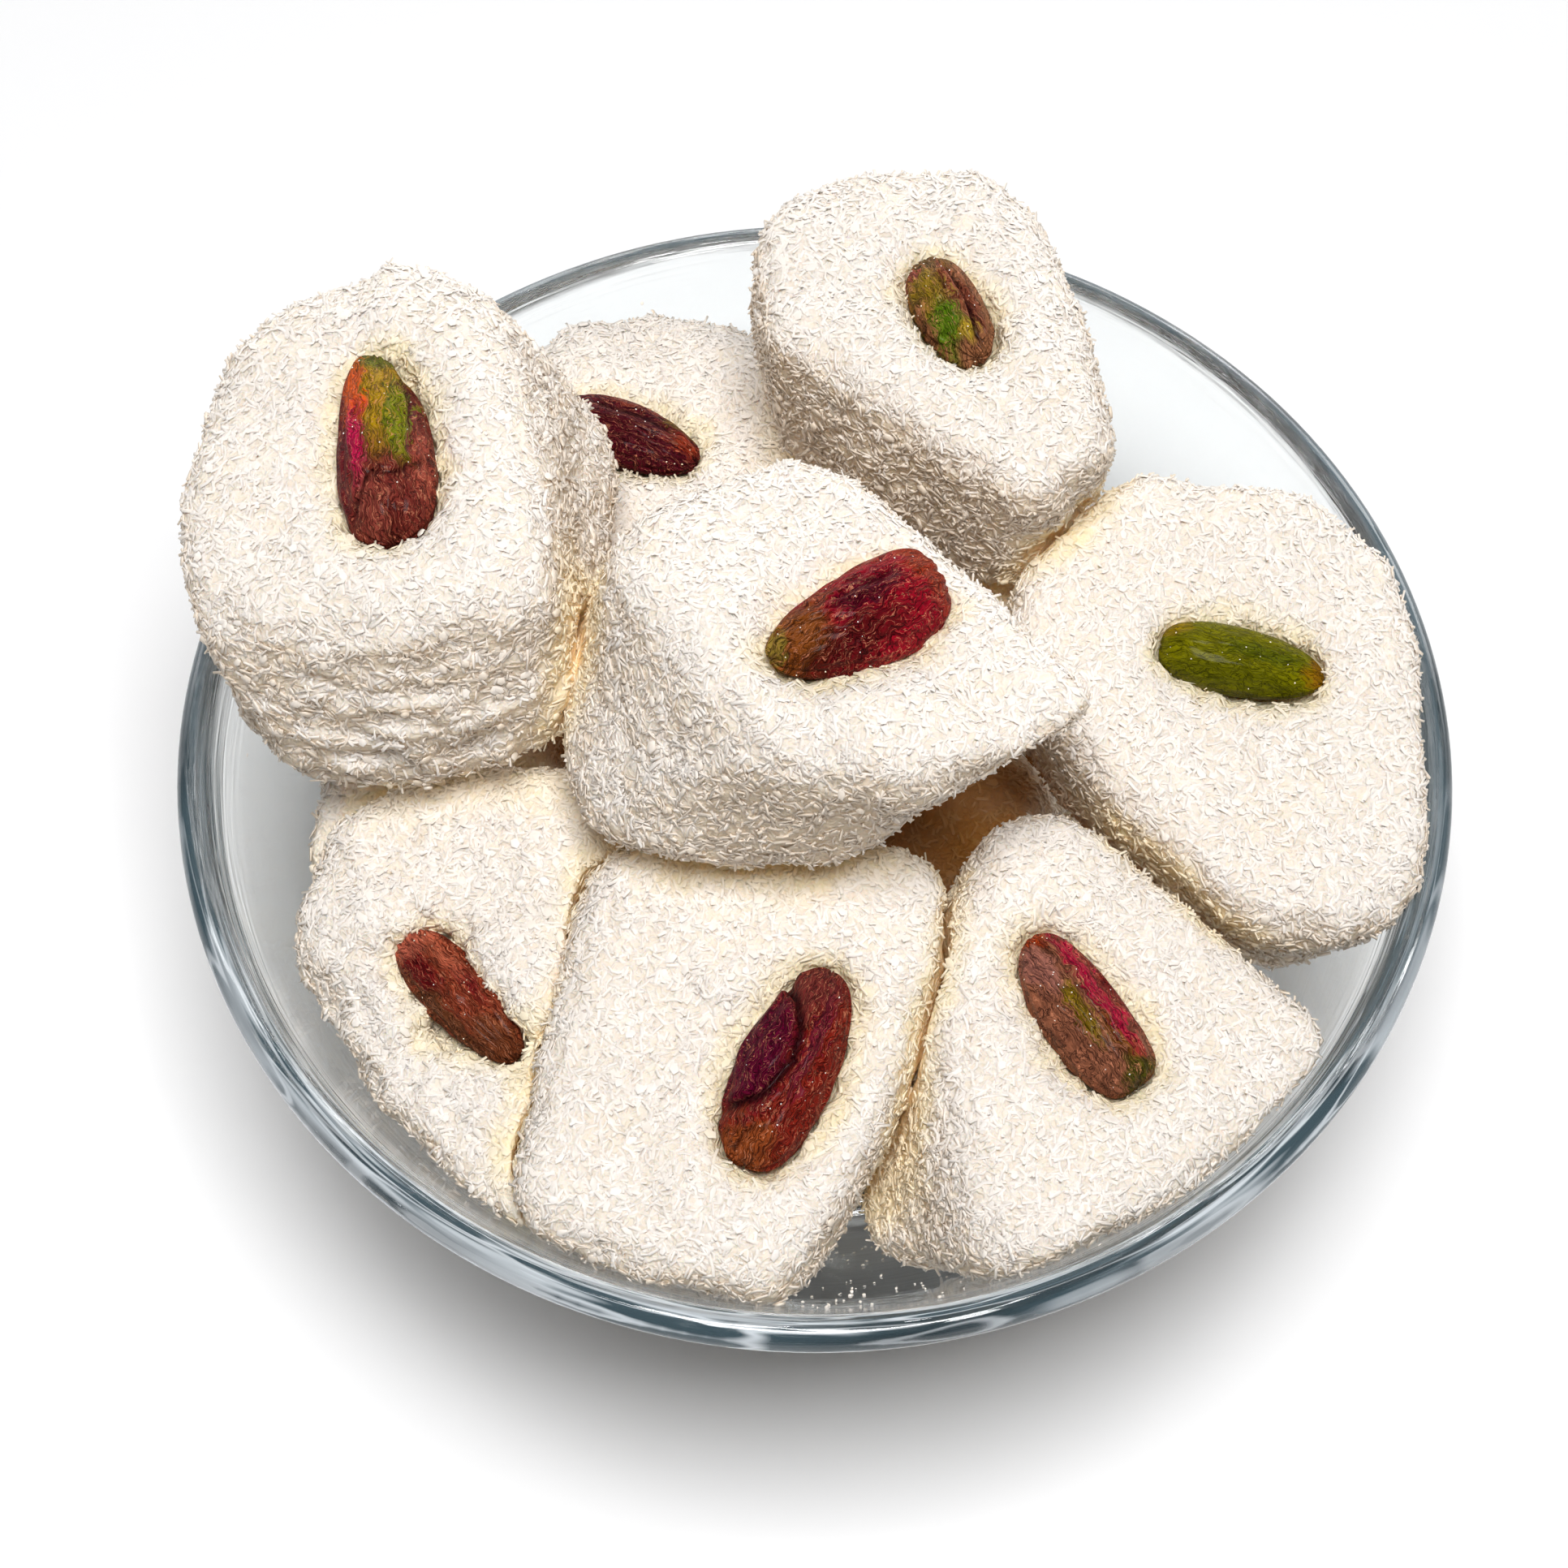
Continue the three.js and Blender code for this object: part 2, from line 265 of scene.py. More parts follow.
@dataclass(frozen=True)
class DoughFinish:
    """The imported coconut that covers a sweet, under its loose shreds."""

    # Colour in the hollows between the threads: partly the paste showing, partly painted shade.
    hollow: Colour = srgb(239, 223, 203)
    crest: Colour = srgb(249, 240, 230)
    warm: Colour = srgb(246, 230, 209)
    # Painted shade on upright sides, where sweets nearly touch and in deep hollows.
    painted_shade: PaintedShadeTones = PaintedShadeTones(srgb(218, 198, 170), srgb(252, 231, 188), srgb(164, 108, 40))
    thread_size: float = 0.9 * MM
    thread_depth: float = 0.16 * MM
    thread_width: float = 0.16
    thread_detail: float = 0.5
    finer: float = 1.3
    finer_share: float = 0.4
    grain_scale: float = 2.6 / MM
    grain_share: float = 0.3
    grain_height: float = 0.5
    warm_scale: float = 0.12 / MM
    warm_edges: Pair = (0.5, 0.72)
    warm_share: float = 0.6

    def material(self) -> Material:
        """Lays winding threads, fine grain, warmer areas and painted shade over packed coconut.

        Returns:
            The material.
        """
        graph = Graph.of_material("packed_coconut")
        place = graph.place()
        scale = 1 / self.thread_size
        near = graph.threads(place, scale, self.thread_width, self.thread_detail)
        aside = graph.shifted(place, (0.31, 0.17, 0.53))
        far = graph.threads(aside, scale * self.finer, self.thread_width, self.thread_detail)
        strands = near * (1 - self.finer_share) + far * self.finer_share
        grain = graph.noise(place, self.grain_scale, 1.0)
        share = strands * (1 - self.grain_share) + grain * self.grain_share
        # Darker where the bump is low: partly the paste between the threads, partly painted shade.
        colour = graph.mix(share, self.hollow, self.crest)
        warmth = graph.noise(place, self.warm_scale, 2.0).ease(*self.warm_edges)
        colour = graph.mix(warmth * self.warm_share, colour, self.warm)
        # Painted shade by where the coconut lies in the heap.
        colour = self.painted_shade.over(graph, colour)
        normal = graph.bump(strands + grain * self.grain_height, self.thread_depth)
        return graph.surface(
            {
                "Base Color": colour,
                "Roughness": 0.7,
                "Normal": normal,
                "Specular IOR Level": 0.35,
                "Subsurface Weight": 0.35,
                "Subsurface Radius": (1.0, 0.72, 0.45),
                "Subsurface Scale": 1.6 * MM,
            }
        )


@dataclass(frozen=True)
class ShredFinish:
    """Dry coconut shreds, each a little lighter or creamier than the next, with fine fibres."""

    pale: Colour = srgb(249, 241, 233)
    cream: Colour = srgb(248, 237, 224)
    # Painted shade on upright sides, where sweets nearly touch and in deep hollows.
    painted_shade: PaintedShadeTones = PaintedShadeTones(srgb(222, 204, 182), srgb(253, 235, 198), srgb(176, 120, 52))
    fibre_scale: float = 5 / MM
    fibre_share: float = 0.2

    def material(self) -> Material:
        """Gives each shred its own tint, with painted shade by where it lies in the heap.

        Returns:
            The material.
        """
        graph = Graph.of_material("coconut_shreds")
        fibre = graph.noise(graph.place(), self.fibre_scale, 1.0)
        share = graph.attribute("tint") * (1 - self.fibre_share) + fibre * self.fibre_share
        colour = graph.mix(share, self.pale, self.cream)
        # Painted shade by where the shred lies in the heap.
        colour = self.painted_shade.over(graph, colour)
        return graph.surface(
            {
                "Base Color": colour,
                "Roughness": 0.48,
                "Specular IOR Level": 0.45,
                "Subsurface Weight": 0.2,
                "Subsurface Radius": (1.0, 0.9, 0.75),
                "Subsurface Scale": 0.5 * MM,
            }
        )


@dataclass(frozen=True)
class GlassFinish:
    """Clear soda glass with a faint cool tint and the slight waves of pressed glass, and a lip of painted
    colour.
    """

    tint: Colour = (0.955, 0.982, 0.985)
    # A dark teal for the lip: partly the glass's own tint through its thickness, partly painted shade.
    deep: Colour = srgb(74, 92, 100)
    # Painted highlight colour for the lip's streaks.
    painted_highlight: Colour = srgb(228, 236, 242)
    lip_from: float = 50.8 * MM
    lip_to: float = 52.0 * MM
    lip_share: float = 0.75
    streaks_around: float = 3.0
    streaks_across: float = 1.5 / MM
    highlight_streak_edges: Pair = (0.45, 0.62)
    highlight_streak_share: float = 0.85
    highlight_line_width: float = 0.05
    # The painted highlights are full in front and fade towards the back.
    front: Pair = (5 * MM, -45 * MM)
    least_highlight: float = 0.1
    wave_depth: float = 0.16 * MM
    body_waves: float = 0.05
    clear_edges: Pair = (0.4, 0.65)
    clear_share: float = 0.5
    back: Pair = (-20 * MM, 30 * MM)
    inner_edge: Pair = (58.8 * MM, 57.8 * MM)

    def material(self) -> Material:
        """Mixes clear glass, near the lip, with an opaque glossy coat whose colour is painted: a dark
        teal, partly the glass's own tint through its thickness and partly painted shade, with painted
        highlight streaks that are strongest in front.

        Returns:
            The material.
        """
        graph = Graph.of_material("glass_with_painted_lip")
        x, y, z = graph.parts(graph.place())
        radius = (x * x + y * y) ** 0.5
        around = (x / radius * self.streaks_around, y / radius * self.streaks_around)
        streak_at = graph.vector(*around, (radius + z * 0.6) * self.streaks_across)
        streaks = graph.noise(streak_at, 1.0, 2.0)
        near_lip = z.ease(self.lip_from - 3 * MM, self.lip_to)
        waves = near_lip * (1 - self.body_waves) + self.body_waves
        normal = graph.bump(streaks * waves, self.wave_depth)
        clear = graph.node(
            "ShaderNodeBsdfPrincipled",
            None,
            {
                "Base Color": self.tint,
                "Roughness": 0.0,
                "IOR": 1.5,
                "Transmission Weight": 1.0,
                "Normal": normal,
            },
        )
        # Painted highlights: streaks and thin threads over the lip's dark teal, strongest in front.
        highlight_lines = graph.threads(graph.shifted(streak_at, (1.7, 4.1, 0.6)), 1.0, self.highlight_line_width, 1.0)
        front_highlight = y.ease(*self.front) * (1 - self.least_highlight) + self.least_highlight
        painted_highlights = (streaks.ease(*self.highlight_streak_edges) * self.highlight_streak_share + highlight_lines) * front_highlight
        colour = graph.mix(painted_highlights, self.deep, self.painted_highlight)
        inputs = {"Base Color": colour, "Roughness": 0.06, "Normal": normal}
        lip = graph.node("ShaderNodeBsdfPrincipled", None, inputs)
        clearness = graph.noise(graph.shifted(streak_at, (5.2, 1.3, 2.7)), 1.0, 1.0)
        shown = 1 - clearness.ease(*self.clear_edges) * self.clear_share
        outer = 1 - y.ease(*self.back) * radius.ease(*self.inner_edge)
        # The painted lip colour covers the top of the wall, with none on its inner edge at the back.
        share = z.ease(self.lip_from, self.lip_to) * shown * outer * self.lip_share
        shaders = {0: share, 1: clear.outputs[0], 2: lip.outputs[0]}
        return graph.finish(graph.node("ShaderNodeMixShader", None, shaders))


@dataclass(frozen=True)
class Patch:
    """A coloured area of a kernel's skin, in shares of its half length and half width."""

    along: float
    across: float
    reach_along: float
    reach_across: float
    colour: Colour
    strength: float = 1.0


@dataclass(frozen=True)
class KernelFinish:
    """A kernel's skin: its own colour, patches over it, and fibres along it."""

    base: Colour
    patches: tuple[Patch, ...]
    # Dark colour of the skin's streaks and grooves, also laid in its folds as painted shade.
    crease: Colour = srgb(38, 12, 16)
    fibre: Colour = srgb(216, 140, 106)
    fibre_share: float = 0.62
    groove_share: float = 0.52
    roughness: float = 0.42
    relief: float = 0.5 * MM
    wander: float = 0.45
    sway: float = 0.55
    fraying: float = 0.8
    patch_edges: Pair = (1.7, 0.25)
    streak_stretch: Pair = (2.2, 7.5)
    streak_scale: float = 2.4
    dark_edges: Pair = (0.5, 0.34)
    dark_share: float = 0.44
    groove_stretch: Pair = (1.7, 6.0)
    groove_scale: float = 2.6
    groove_width: float = 0.045
    fibre_scale: float = 3.4
    fibre_width: float = 0.04
    fibre_edges: Pair = (0.42, 0.6)
    crease_edges: Pair = (0.25, 1.0)
    fold_shade_share: float = 0.9

    def material(self, name: str) -> Material:
        """Lays the patches, dark streaks, grooves and fibres over the kernel's own colour.

        Args:
            name: the kernel's name.

        Returns:
            The material.
        """
        graph = Graph.of_material("kernel_skin_" + name)
        along = graph.attribute("along")
        across = graph.attribute("across")
        place = graph.place()
        wander = graph.noise(place, 0.45 / MM, 3.0) - 0.5
        sway = graph.noise(graph.shifted(place, (0.2, 0.5, 0.1)), 0.55 / MM, 3.0) - 0.5
        u = along + wander * self.wander
        v = across + sway * self.sway
        streak_at = graph.vector(u * self.streak_stretch[0], v * self.streak_stretch[1], wander)
        streaks = graph.noise(streak_at, self.streak_scale, 3.0)
        frayed = v + (streaks - 0.5) * self.fraying
        colour = self.base
        for patch in self.patches:
            du = (u - patch.along) / patch.reach_along
            dv = (frayed - patch.across) / patch.reach_across
            share = (du * du + dv * dv).ease(*self.patch_edges) * patch.strength
            colour = graph.mix(share, colour, patch.colour)
        colour = graph.mix(streaks.ease(*self.dark_edges) * self.dark_share, colour, self.crease)
        groove_at = graph.vector(u * self.groove_stretch[0], v * self.groove_stretch[1], sway)
        grooves = graph.threads(groove_at, self.groove_scale, self.groove_width, 1.0)
        colour = graph.mix(grooves * self.groove_share, colour, self.crease)
        fibres = graph.threads(streak_at, self.fibre_scale, self.fibre_width, 1.5)
        fibres = fibres * streaks.ease(*self.fibre_edges)
        colour = graph.mix(fibres * self.fibre_share, colour, self.fibre)
        # The folds are darkened towards the crease colour: partly the skin's own darker colour there,
        # partly painted shade.
        painted_fold_shade = graph.attribute("crease").ease(*self.crease_edges)
        colour = graph.mix(painted_fold_shade * self.fold_shade_share, colour, self.crease)
        relief = streaks * 0.6 + graph.noise(place, 2.2 / MM, 2.0) * 0.25 - grooves * 0.3
        normal = graph.bump(relief, self.relief)
        return graph.surface(
            {
                "Base Color": colour,
                "Roughness": self.roughness + 0.25 * (streaks - 0.5),
                "Normal": normal,
                "Specular IOR Level": 0.04,
                "Coat Weight": 0.05,
                "Coat Roughness": 0.14,
            }
        )


@dataclass(frozen=True)
class FloorFinish:
    """The plain pale surface that the bowl stands on."""

    colour: Colour = (0.94, 0.94, 0.945)

    def material(self) -> Material:
        """Returns the material."""
        graph = Graph.of_material("pale_floor")
        return graph.surface({"Base Color": self.colour, "Roughness": 0.9, "Specular IOR Level": 0.1})


# ---------------------------------------------------------------- mesh helpers
def add_piece(name: str, mesh: Mesh, material: Material) -> Object:
    """Adds a mesh to the scene as a smooth-shaded piece.

    Args:
        name: the piece's name.
        mesh: its mesh, already in place.
        material: its finish.

    Returns:
        The new object.
    """
    mesh.name = name
    mesh.materials.clear()
    mesh.materials.append(material)
    mesh.shade_smooth()
    piece = bpy.data.objects.new(name, mesh)
    bpy.context.scene.collection.objects.link(piece)
    return piece


def finished_mesh(bm: BMesh) -> Mesh:
    """Turns a bmesh into a mesh, and frees it.

    Args:
        bm: the bmesh.

    Returns:
        The mesh.
    """
    mesh = bpy.data.meshes.new("mesh")
    bm.to_mesh(mesh)
    bm.free()
    return mesh


def ordered(bm: BMesh) -> BMesh:
    """Sorts a bmesh's faces by their points, as some operators leave them in a different order each run.

    Args:
        bm: the bmesh, which is sorted in place.

    Returns:
        The same bmesh.
    """
    bm.verts.index_update()
    many = len(bm.verts)

    def rank(face: BMFace) -> int:
        """Returns a number that grows with the face's three lowest points."""
        first, second, third = sorted(vert.index for vert in face.verts)[:3]
        return (first * many + second) * many + third

    bm.faces.sort(key=rank)
    return bm


def node_bmesh(node: str) -> BMesh:
    """Copies a frame node's mesh, with its triangles joined.

    Args:
        node: the node's name.

    Returns:
        The copy.
    """
    bm = bmesh.new()
    bm.from_mesh(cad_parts[node].data)
    bmesh.ops.remove_doubles(bm, verts=bm.verts, dist=WELD)
    return bm


def rows_of(mesh: Mesh, what: str) -> np.ndarray:
    """Reads a mesh's points.

    Args:
        mesh: the mesh.
        what: "co" for where they are, or "normal" for the way that they face.

    Returns:
        One row for each point.
    """
    rows = np.empty(len(mesh.vertices) * 3)
    mesh.vertices.foreach_get(what, rows)
    return rows.reshape(-1, 3)


def move_points(mesh: Mesh, points: np.ndarray) -> None:
    """Puts a mesh's points where the rows say."""
    mesh.vertices.foreach_set("co", points.ravel())
    mesh.update()


def store(mesh: Mesh, name: str, values: np.ndarray) -> None:
    """Stores one number for each point of a mesh."""
    mesh.attributes.new(name, "FLOAT", "POINT").data.foreach_set("value", values.astype(np.float32))


def baked(piece: Object) -> Mesh:
    """Returns a piece's mesh with its modifiers applied."""
    graph = bpy.context.evaluated_depsgraph_get()
    return bpy.data.meshes.new_from_object(piece.evaluated_get(graph))


# ---------------------------------------------------------------- glass bowl
@dataclass
class GlassBowl:
    """The round bowl: a wall that curves up from a ring foot to a rounded lip.

    Floor_dish says how far below its edge the inner floor lies, in mm, at shares of the edge's radius.
    """

    rim_radius: float = 60 * MM
    height: float = 54 * MM
    wall: float = 3.4 * MM
    foot_radius: float = 26 * MM
    foot_ring: float = 5 * MM
    foot_recess: float = 0.8 * MM
    belly: Pair = (43 * MM, 17 * MM)
    lip_lean: float = 26
    floor_dish: tuple[Pair, ...] = ((0.85, 1.0), (0.5, 2.0), (0.0, 2.2))
    foot_edge: float = 1 * MM
    wall_steps: int = 40
    first_inside: int = 5
    lip_steps: int = 17
    floor_steps: int = 13
    turns: int = 192
    seam: float = 0.01 * MM

    def lip_point(self, degrees: float) -> Vector:
        """Finds a point of the lip's round edge.

        Args:
            degrees: how far round the edge it is, from straight outwards.

        Returns:
            The point, as radius and height.
        """
        radius = self.wall / 2
        angle = math.radians(degrees)
        centre = Vector((self.rim_radius - radius, self.height - radius))
        return centre + radius * Vector((math.cos(angle), math.sin(angle)))

    def wall_point(self, t: float, inset: float = 0.0) -> Vector:
        """Finds a point of the wall.

        Args:
            t: 0 at the foot's edge and 1 at the lip.
            inset: how far inside the outer face the point lies.

        Returns:
            The point, as radius and height.
        """
        foot = Vector((self.foot_radius, 0.0))
        belly = Vector(self.belly)
        lip = self.lip_point(-self.lip_lean)
        along = (belly - foot) * (1 - t) + (lip - belly) * t
        inwards = Vector((-along.y, along.x)).normalized()
        return foot * (1 - t) ** 2 + belly * 2 * t * (1 - t) + lip * t**2 + inwards * inset

    def profile(self) -> list[Vector]:
        """Draws the section from the axis under the foot round to the axis inside.

        Returns:
            Its points, each as radius and height.
        """
        ring = self.foot_radius - self.foot_ring
        points = [
            Vector((0.0, self.foot_recess)),
            Vector((ring - self.foot_recess, self.foot_recess)),
            Vector((ring, 0.0)),
            Vector((self.foot_radius - self.foot_edge, 0.0)),
        ]
        steps = self.wall_steps
        points += [self.wall_point(i / steps) for i in range(steps + 1)]
        lip_angles = np.linspace(-self.lip_lean, 180 - self.lip_lean, self.lip_steps)[1:-1]
        points += [self.lip_point(angle) for angle in lip_angles]
        inside = range(steps, self.first_inside, -1)
        points += [self.wall_point(i / steps, self.wall) for i in inside]
        edge = points[-1]
        shares, drops = zip(*((1.0, 0.0), *self.floor_dish))
        for share in np.linspace(1, 0, self.floor_steps)[1:]:
            drop = np.interp(share, shares[::-1], drops[::-1])
            points.append(Vector((edge.x * share, edge.y - drop * MM)))
        return points

    def build(self) -> Object:
        """Spins the section into the bowl.

        Returns:
            The piece.
        """
        bm = bmesh.new()
        verts = [bm.verts.new((point.x, 0.0, point.y)) for point in self.profile()]
        edges = [bm.edges.new(pair) for pair in zip(verts, verts[1:])]
        bmesh.ops.spin(
            bm, geom=verts + edges, cent=(0, 0, 0), axis=(0, 0, 1), angle=math.tau,
            steps=self.turns, use_merge=True,
        )
        bmesh.ops.remove_doubles(bm, verts=bm.verts, dist=self.seam)
        bmesh.ops.recalc_face_normals(bm, faces=bm.faces)
        piece = add_piece("glass_bowl", finished_mesh(ordered(bm)), GlassFinish().material())
        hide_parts("bowl")
        return piece


# ---------------------------------------------------------------- sweets
@dataclass(frozen=True)
class Swell:
    """A place where a sweet stands out, or falls in where rise is negative, in mm."""

    at: Triple
    reach: float
    rise: float

    def moves(self, points: np.ndarray, normals: np.ndarray) -> np.ndarray:
        """Returns how far each of a sweet's points moves, all in mm."""
        return normals * (self.rise * self._nearness(points))[:, None]

    def _nearness(self, points: np.ndarray) -> np.ndarray:
        """Returns 1 at the place itself, falling to 0 away from it."""
        away = np.linalg.norm(points - np.array(self.at), axis=1) / self.reach
        return np.exp(-(away**2))


@dataclass(frozen=True)
class Pull(Swell):
    """A place where a sweet is pulled to one side, in mm."""

    move: Triple = (0, 0, 0)

    def moves(self, points: np.ndarray, normals: np.ndarray) -> np.ndarray:
        """Returns how far each of a sweet's points moves, all in mm."""
        return np.array(self.move) * self._nearness(points)[:, None]


@dataclass(frozen=True)
class Folds(Swell):
    """A place where packed coconut lies in folds, as high as rise and as wide as size, in mm."""

    size: Triple = (3, 3, 3)
    faint: float = 0.02
    finer: float = 2.3
    finer_share: float = 0.5

    def moves(self, points: np.ndarray, normals: np.ndarray) -> np.ndarray:
        """Works out how the place is shaped.

        Args:
            points: the sweet's points, in mm.
            normals: the directions that they face.

        Returns:
            How far each point moves, in mm.
        """
        share = self._nearness(points)
        near = share > self.faint
        height = np.zeros(len(points))
        spots = points[near] / np.array(self.size)
        height[near] = [
            noise.noise(spot) + self.finer_share * noise.noise(self.finer * spot)
            for spot in map(Vector, spots)
        ]
        return normals * (self.rise * share * height)[:, None]


@dataclass(frozen=True)
class Seat(Swell):
    """The dent that a kernel is pressed into, inside a low wall of coconut that it pushed up."""

    kernel: str = ""
    dent: float = 0.7
    dent_reach: float = 1.5
    wall_at: float = 4.0
    wall_reach: float = 2.8

    def moves(self, points: np.ndarray, normals: np.ndarray) -> np.ndarray:
        """Works out how the sweet is shaped round its kernel.

        Args:
            points: the sweet's points, in mm.
            normals: the directions that they face.

        Returns:
            How far each point moves, in mm.
        """
        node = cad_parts.get("pistachio_" + self.kernel)
        if node is None:
            return np.zeros_like(points)
        nut = [vertex.co / MM for vertex in node.data.vertices]
        tree = KDTree(len(nut))
        for i, spot in enumerate(nut):
            tree.insert(spot, i)
        tree.balance()
        away = np.array([tree.find(point)[2] for point in points])
        wall = self.rise * np.exp(-(((away - self.wall_at) / self.wall_reach) ** 2))
        return normals * (wall - self.dent * np.exp(-((away / self.dent_reach) ** 2)))[:, None]


@dataclass
class Sweet:
    """One block of delight, smooth from its cutting and lumpy with packed coconut.

    Lumps are sizes of unevenness, each with its depth from hollow to crest, in mm.
    """

    name: str
    voxel: float = 0.5 * MM
    forms: tuple[Swell, ...] = ()
    smoothing: int = 18
    lumps: tuple[Pair, ...] = ((15, 0.8), (7, 0.65), (2.4, 0.5), (1.0, 0.35))

    def build(self, dough: Material) -> Object:
        """Makes the block from its frame node.

        Args:
            dough: the finish of packed coconut.

        Returns:
            The piece.
        """
        node = "sweet_" + self.name
        draft = add_piece("draft", finished_mesh(node_bmesh(node)), dough)
        remesh = draft.modifiers.new("remesh", "REMESH")
        remesh.mode = "VOXEL"
        remesh.voxel_size = self.voxel
        smooth = draft.modifiers.new("smooth", "SMOOTH")
        smooth.factor = 0.5
        smooth.iterations = self.smoothing
        for size, depth in self.lumps:
            self._roughen(draft, size * MM, depth * MM)
        mesh = baked(draft)
        bpy.data.objects.remove(draft)
        self._form(mesh)
        piece = add_piece("packed_" + self.name, mesh, dough)
        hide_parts(node)
        return piece

    @staticmethod
    def _roughen(draft: Object, size: float, depth: float) -> None:
        """Adds unevenness of one size to a draft.

        Args:
            draft: the object that is shaped.
            size: how wide a lump is.
            depth: from hollow to crest.
        """
        texture = bpy.data.textures.new("lumps", "CLOUDS")
        texture.noise_scale = size
        texture.noise_depth = 1
        displace = draft.modifiers.new("lumps", "DISPLACE")
        displace.texture = texture
        displace.texture_coords = "LOCAL"
        displace.strength = depth
        displace.mid_level = 0.55

    def _form(self, mesh: Mesh) -> None:
        """Forms the seat of the sweet's kernel and its own swells, pulls and folds.

        Args:
            mesh: the sweet's mesh.
        """
        for form in (Seat((0, 0, 0), 0, 0.6, kernel=self.name), *self.forms):
            points = rows_of(mesh, "co")
            move_points(mesh, points + form.moves(points / MM, rows_of(mesh, "normal")) * MM)


SWEETS = (
    Sweet(
        "centre_top",
        smoothing=12,
        forms=(
            Pull((22, -12, 83), 5, 0, move=(1.2, -0.6, 0.6)),
            Swell((17, -12, 76), 6, -1.2),
        ),
    ),
    Sweet(
        "left_upper",
        forms=(
            Folds((-40, -6, 66), 13, 1.1, size=(5, 5, 2.6)),
            Folds((-27, -5, 64), 8, 0.8, size=(3, 4, 2.6)),
        ),
    ),
    Sweet("back_upper", forms=(Folds((8, 19, 68), 14, 0.35, size=(1.8, 1.8, 6)),)),
    Sweet("front_middle"),
    Sweet("front_right"),
    Sweet("right", forms=(Swell((23, -5, 49), 7, 1.6), Pull((58, -5, 60), 13, 0, move=(-1.2, 0, 0)))),
    Sweet(
        "front_left",
        forms=(
            Folds((-37, -25, 49), 15, 1.5, size=(4.5, 4.5, 4.5)),
            Swell((-27.5, -24, 51.5), 5, 1.3),
            Swell((-43, -17, 50), 5, 0.9),
        ),
    ),
    Sweet("back_low"),
    Sweet("left_under", voxel=0.7 * MM),
    Sweet("middle_under", voxel=0.7 * MM),
    Sweet("back_under", voxel=0.8 * MM),
    Sweet("floor_left", voxel=0.8 * MM),
    Sweet("floor_right", voxel=0.8 * MM),
)


# ---------------------------------------------------------------- kernels
@dataclass(frozen=True)
class Fold:
    """A crease in a kernel's skin, as wide and as deep as its last two numbers, in mm.

    Its line runs through (along, across) points, in shares of the kernel's half length and half width.
    """

    line: tuple[Pair, ...]
    width: float = 0.5
    depth: float = 0.4


@dataclass(frozen=True)
class Lobe:
    """A part of a kernel that stands out, or falls in where rise is negative.

    Its place is in shares of the kernel's half length and half width, and its reach and rise in mm.
    """

    along: float
    across: float
    reach: float
    rise: float


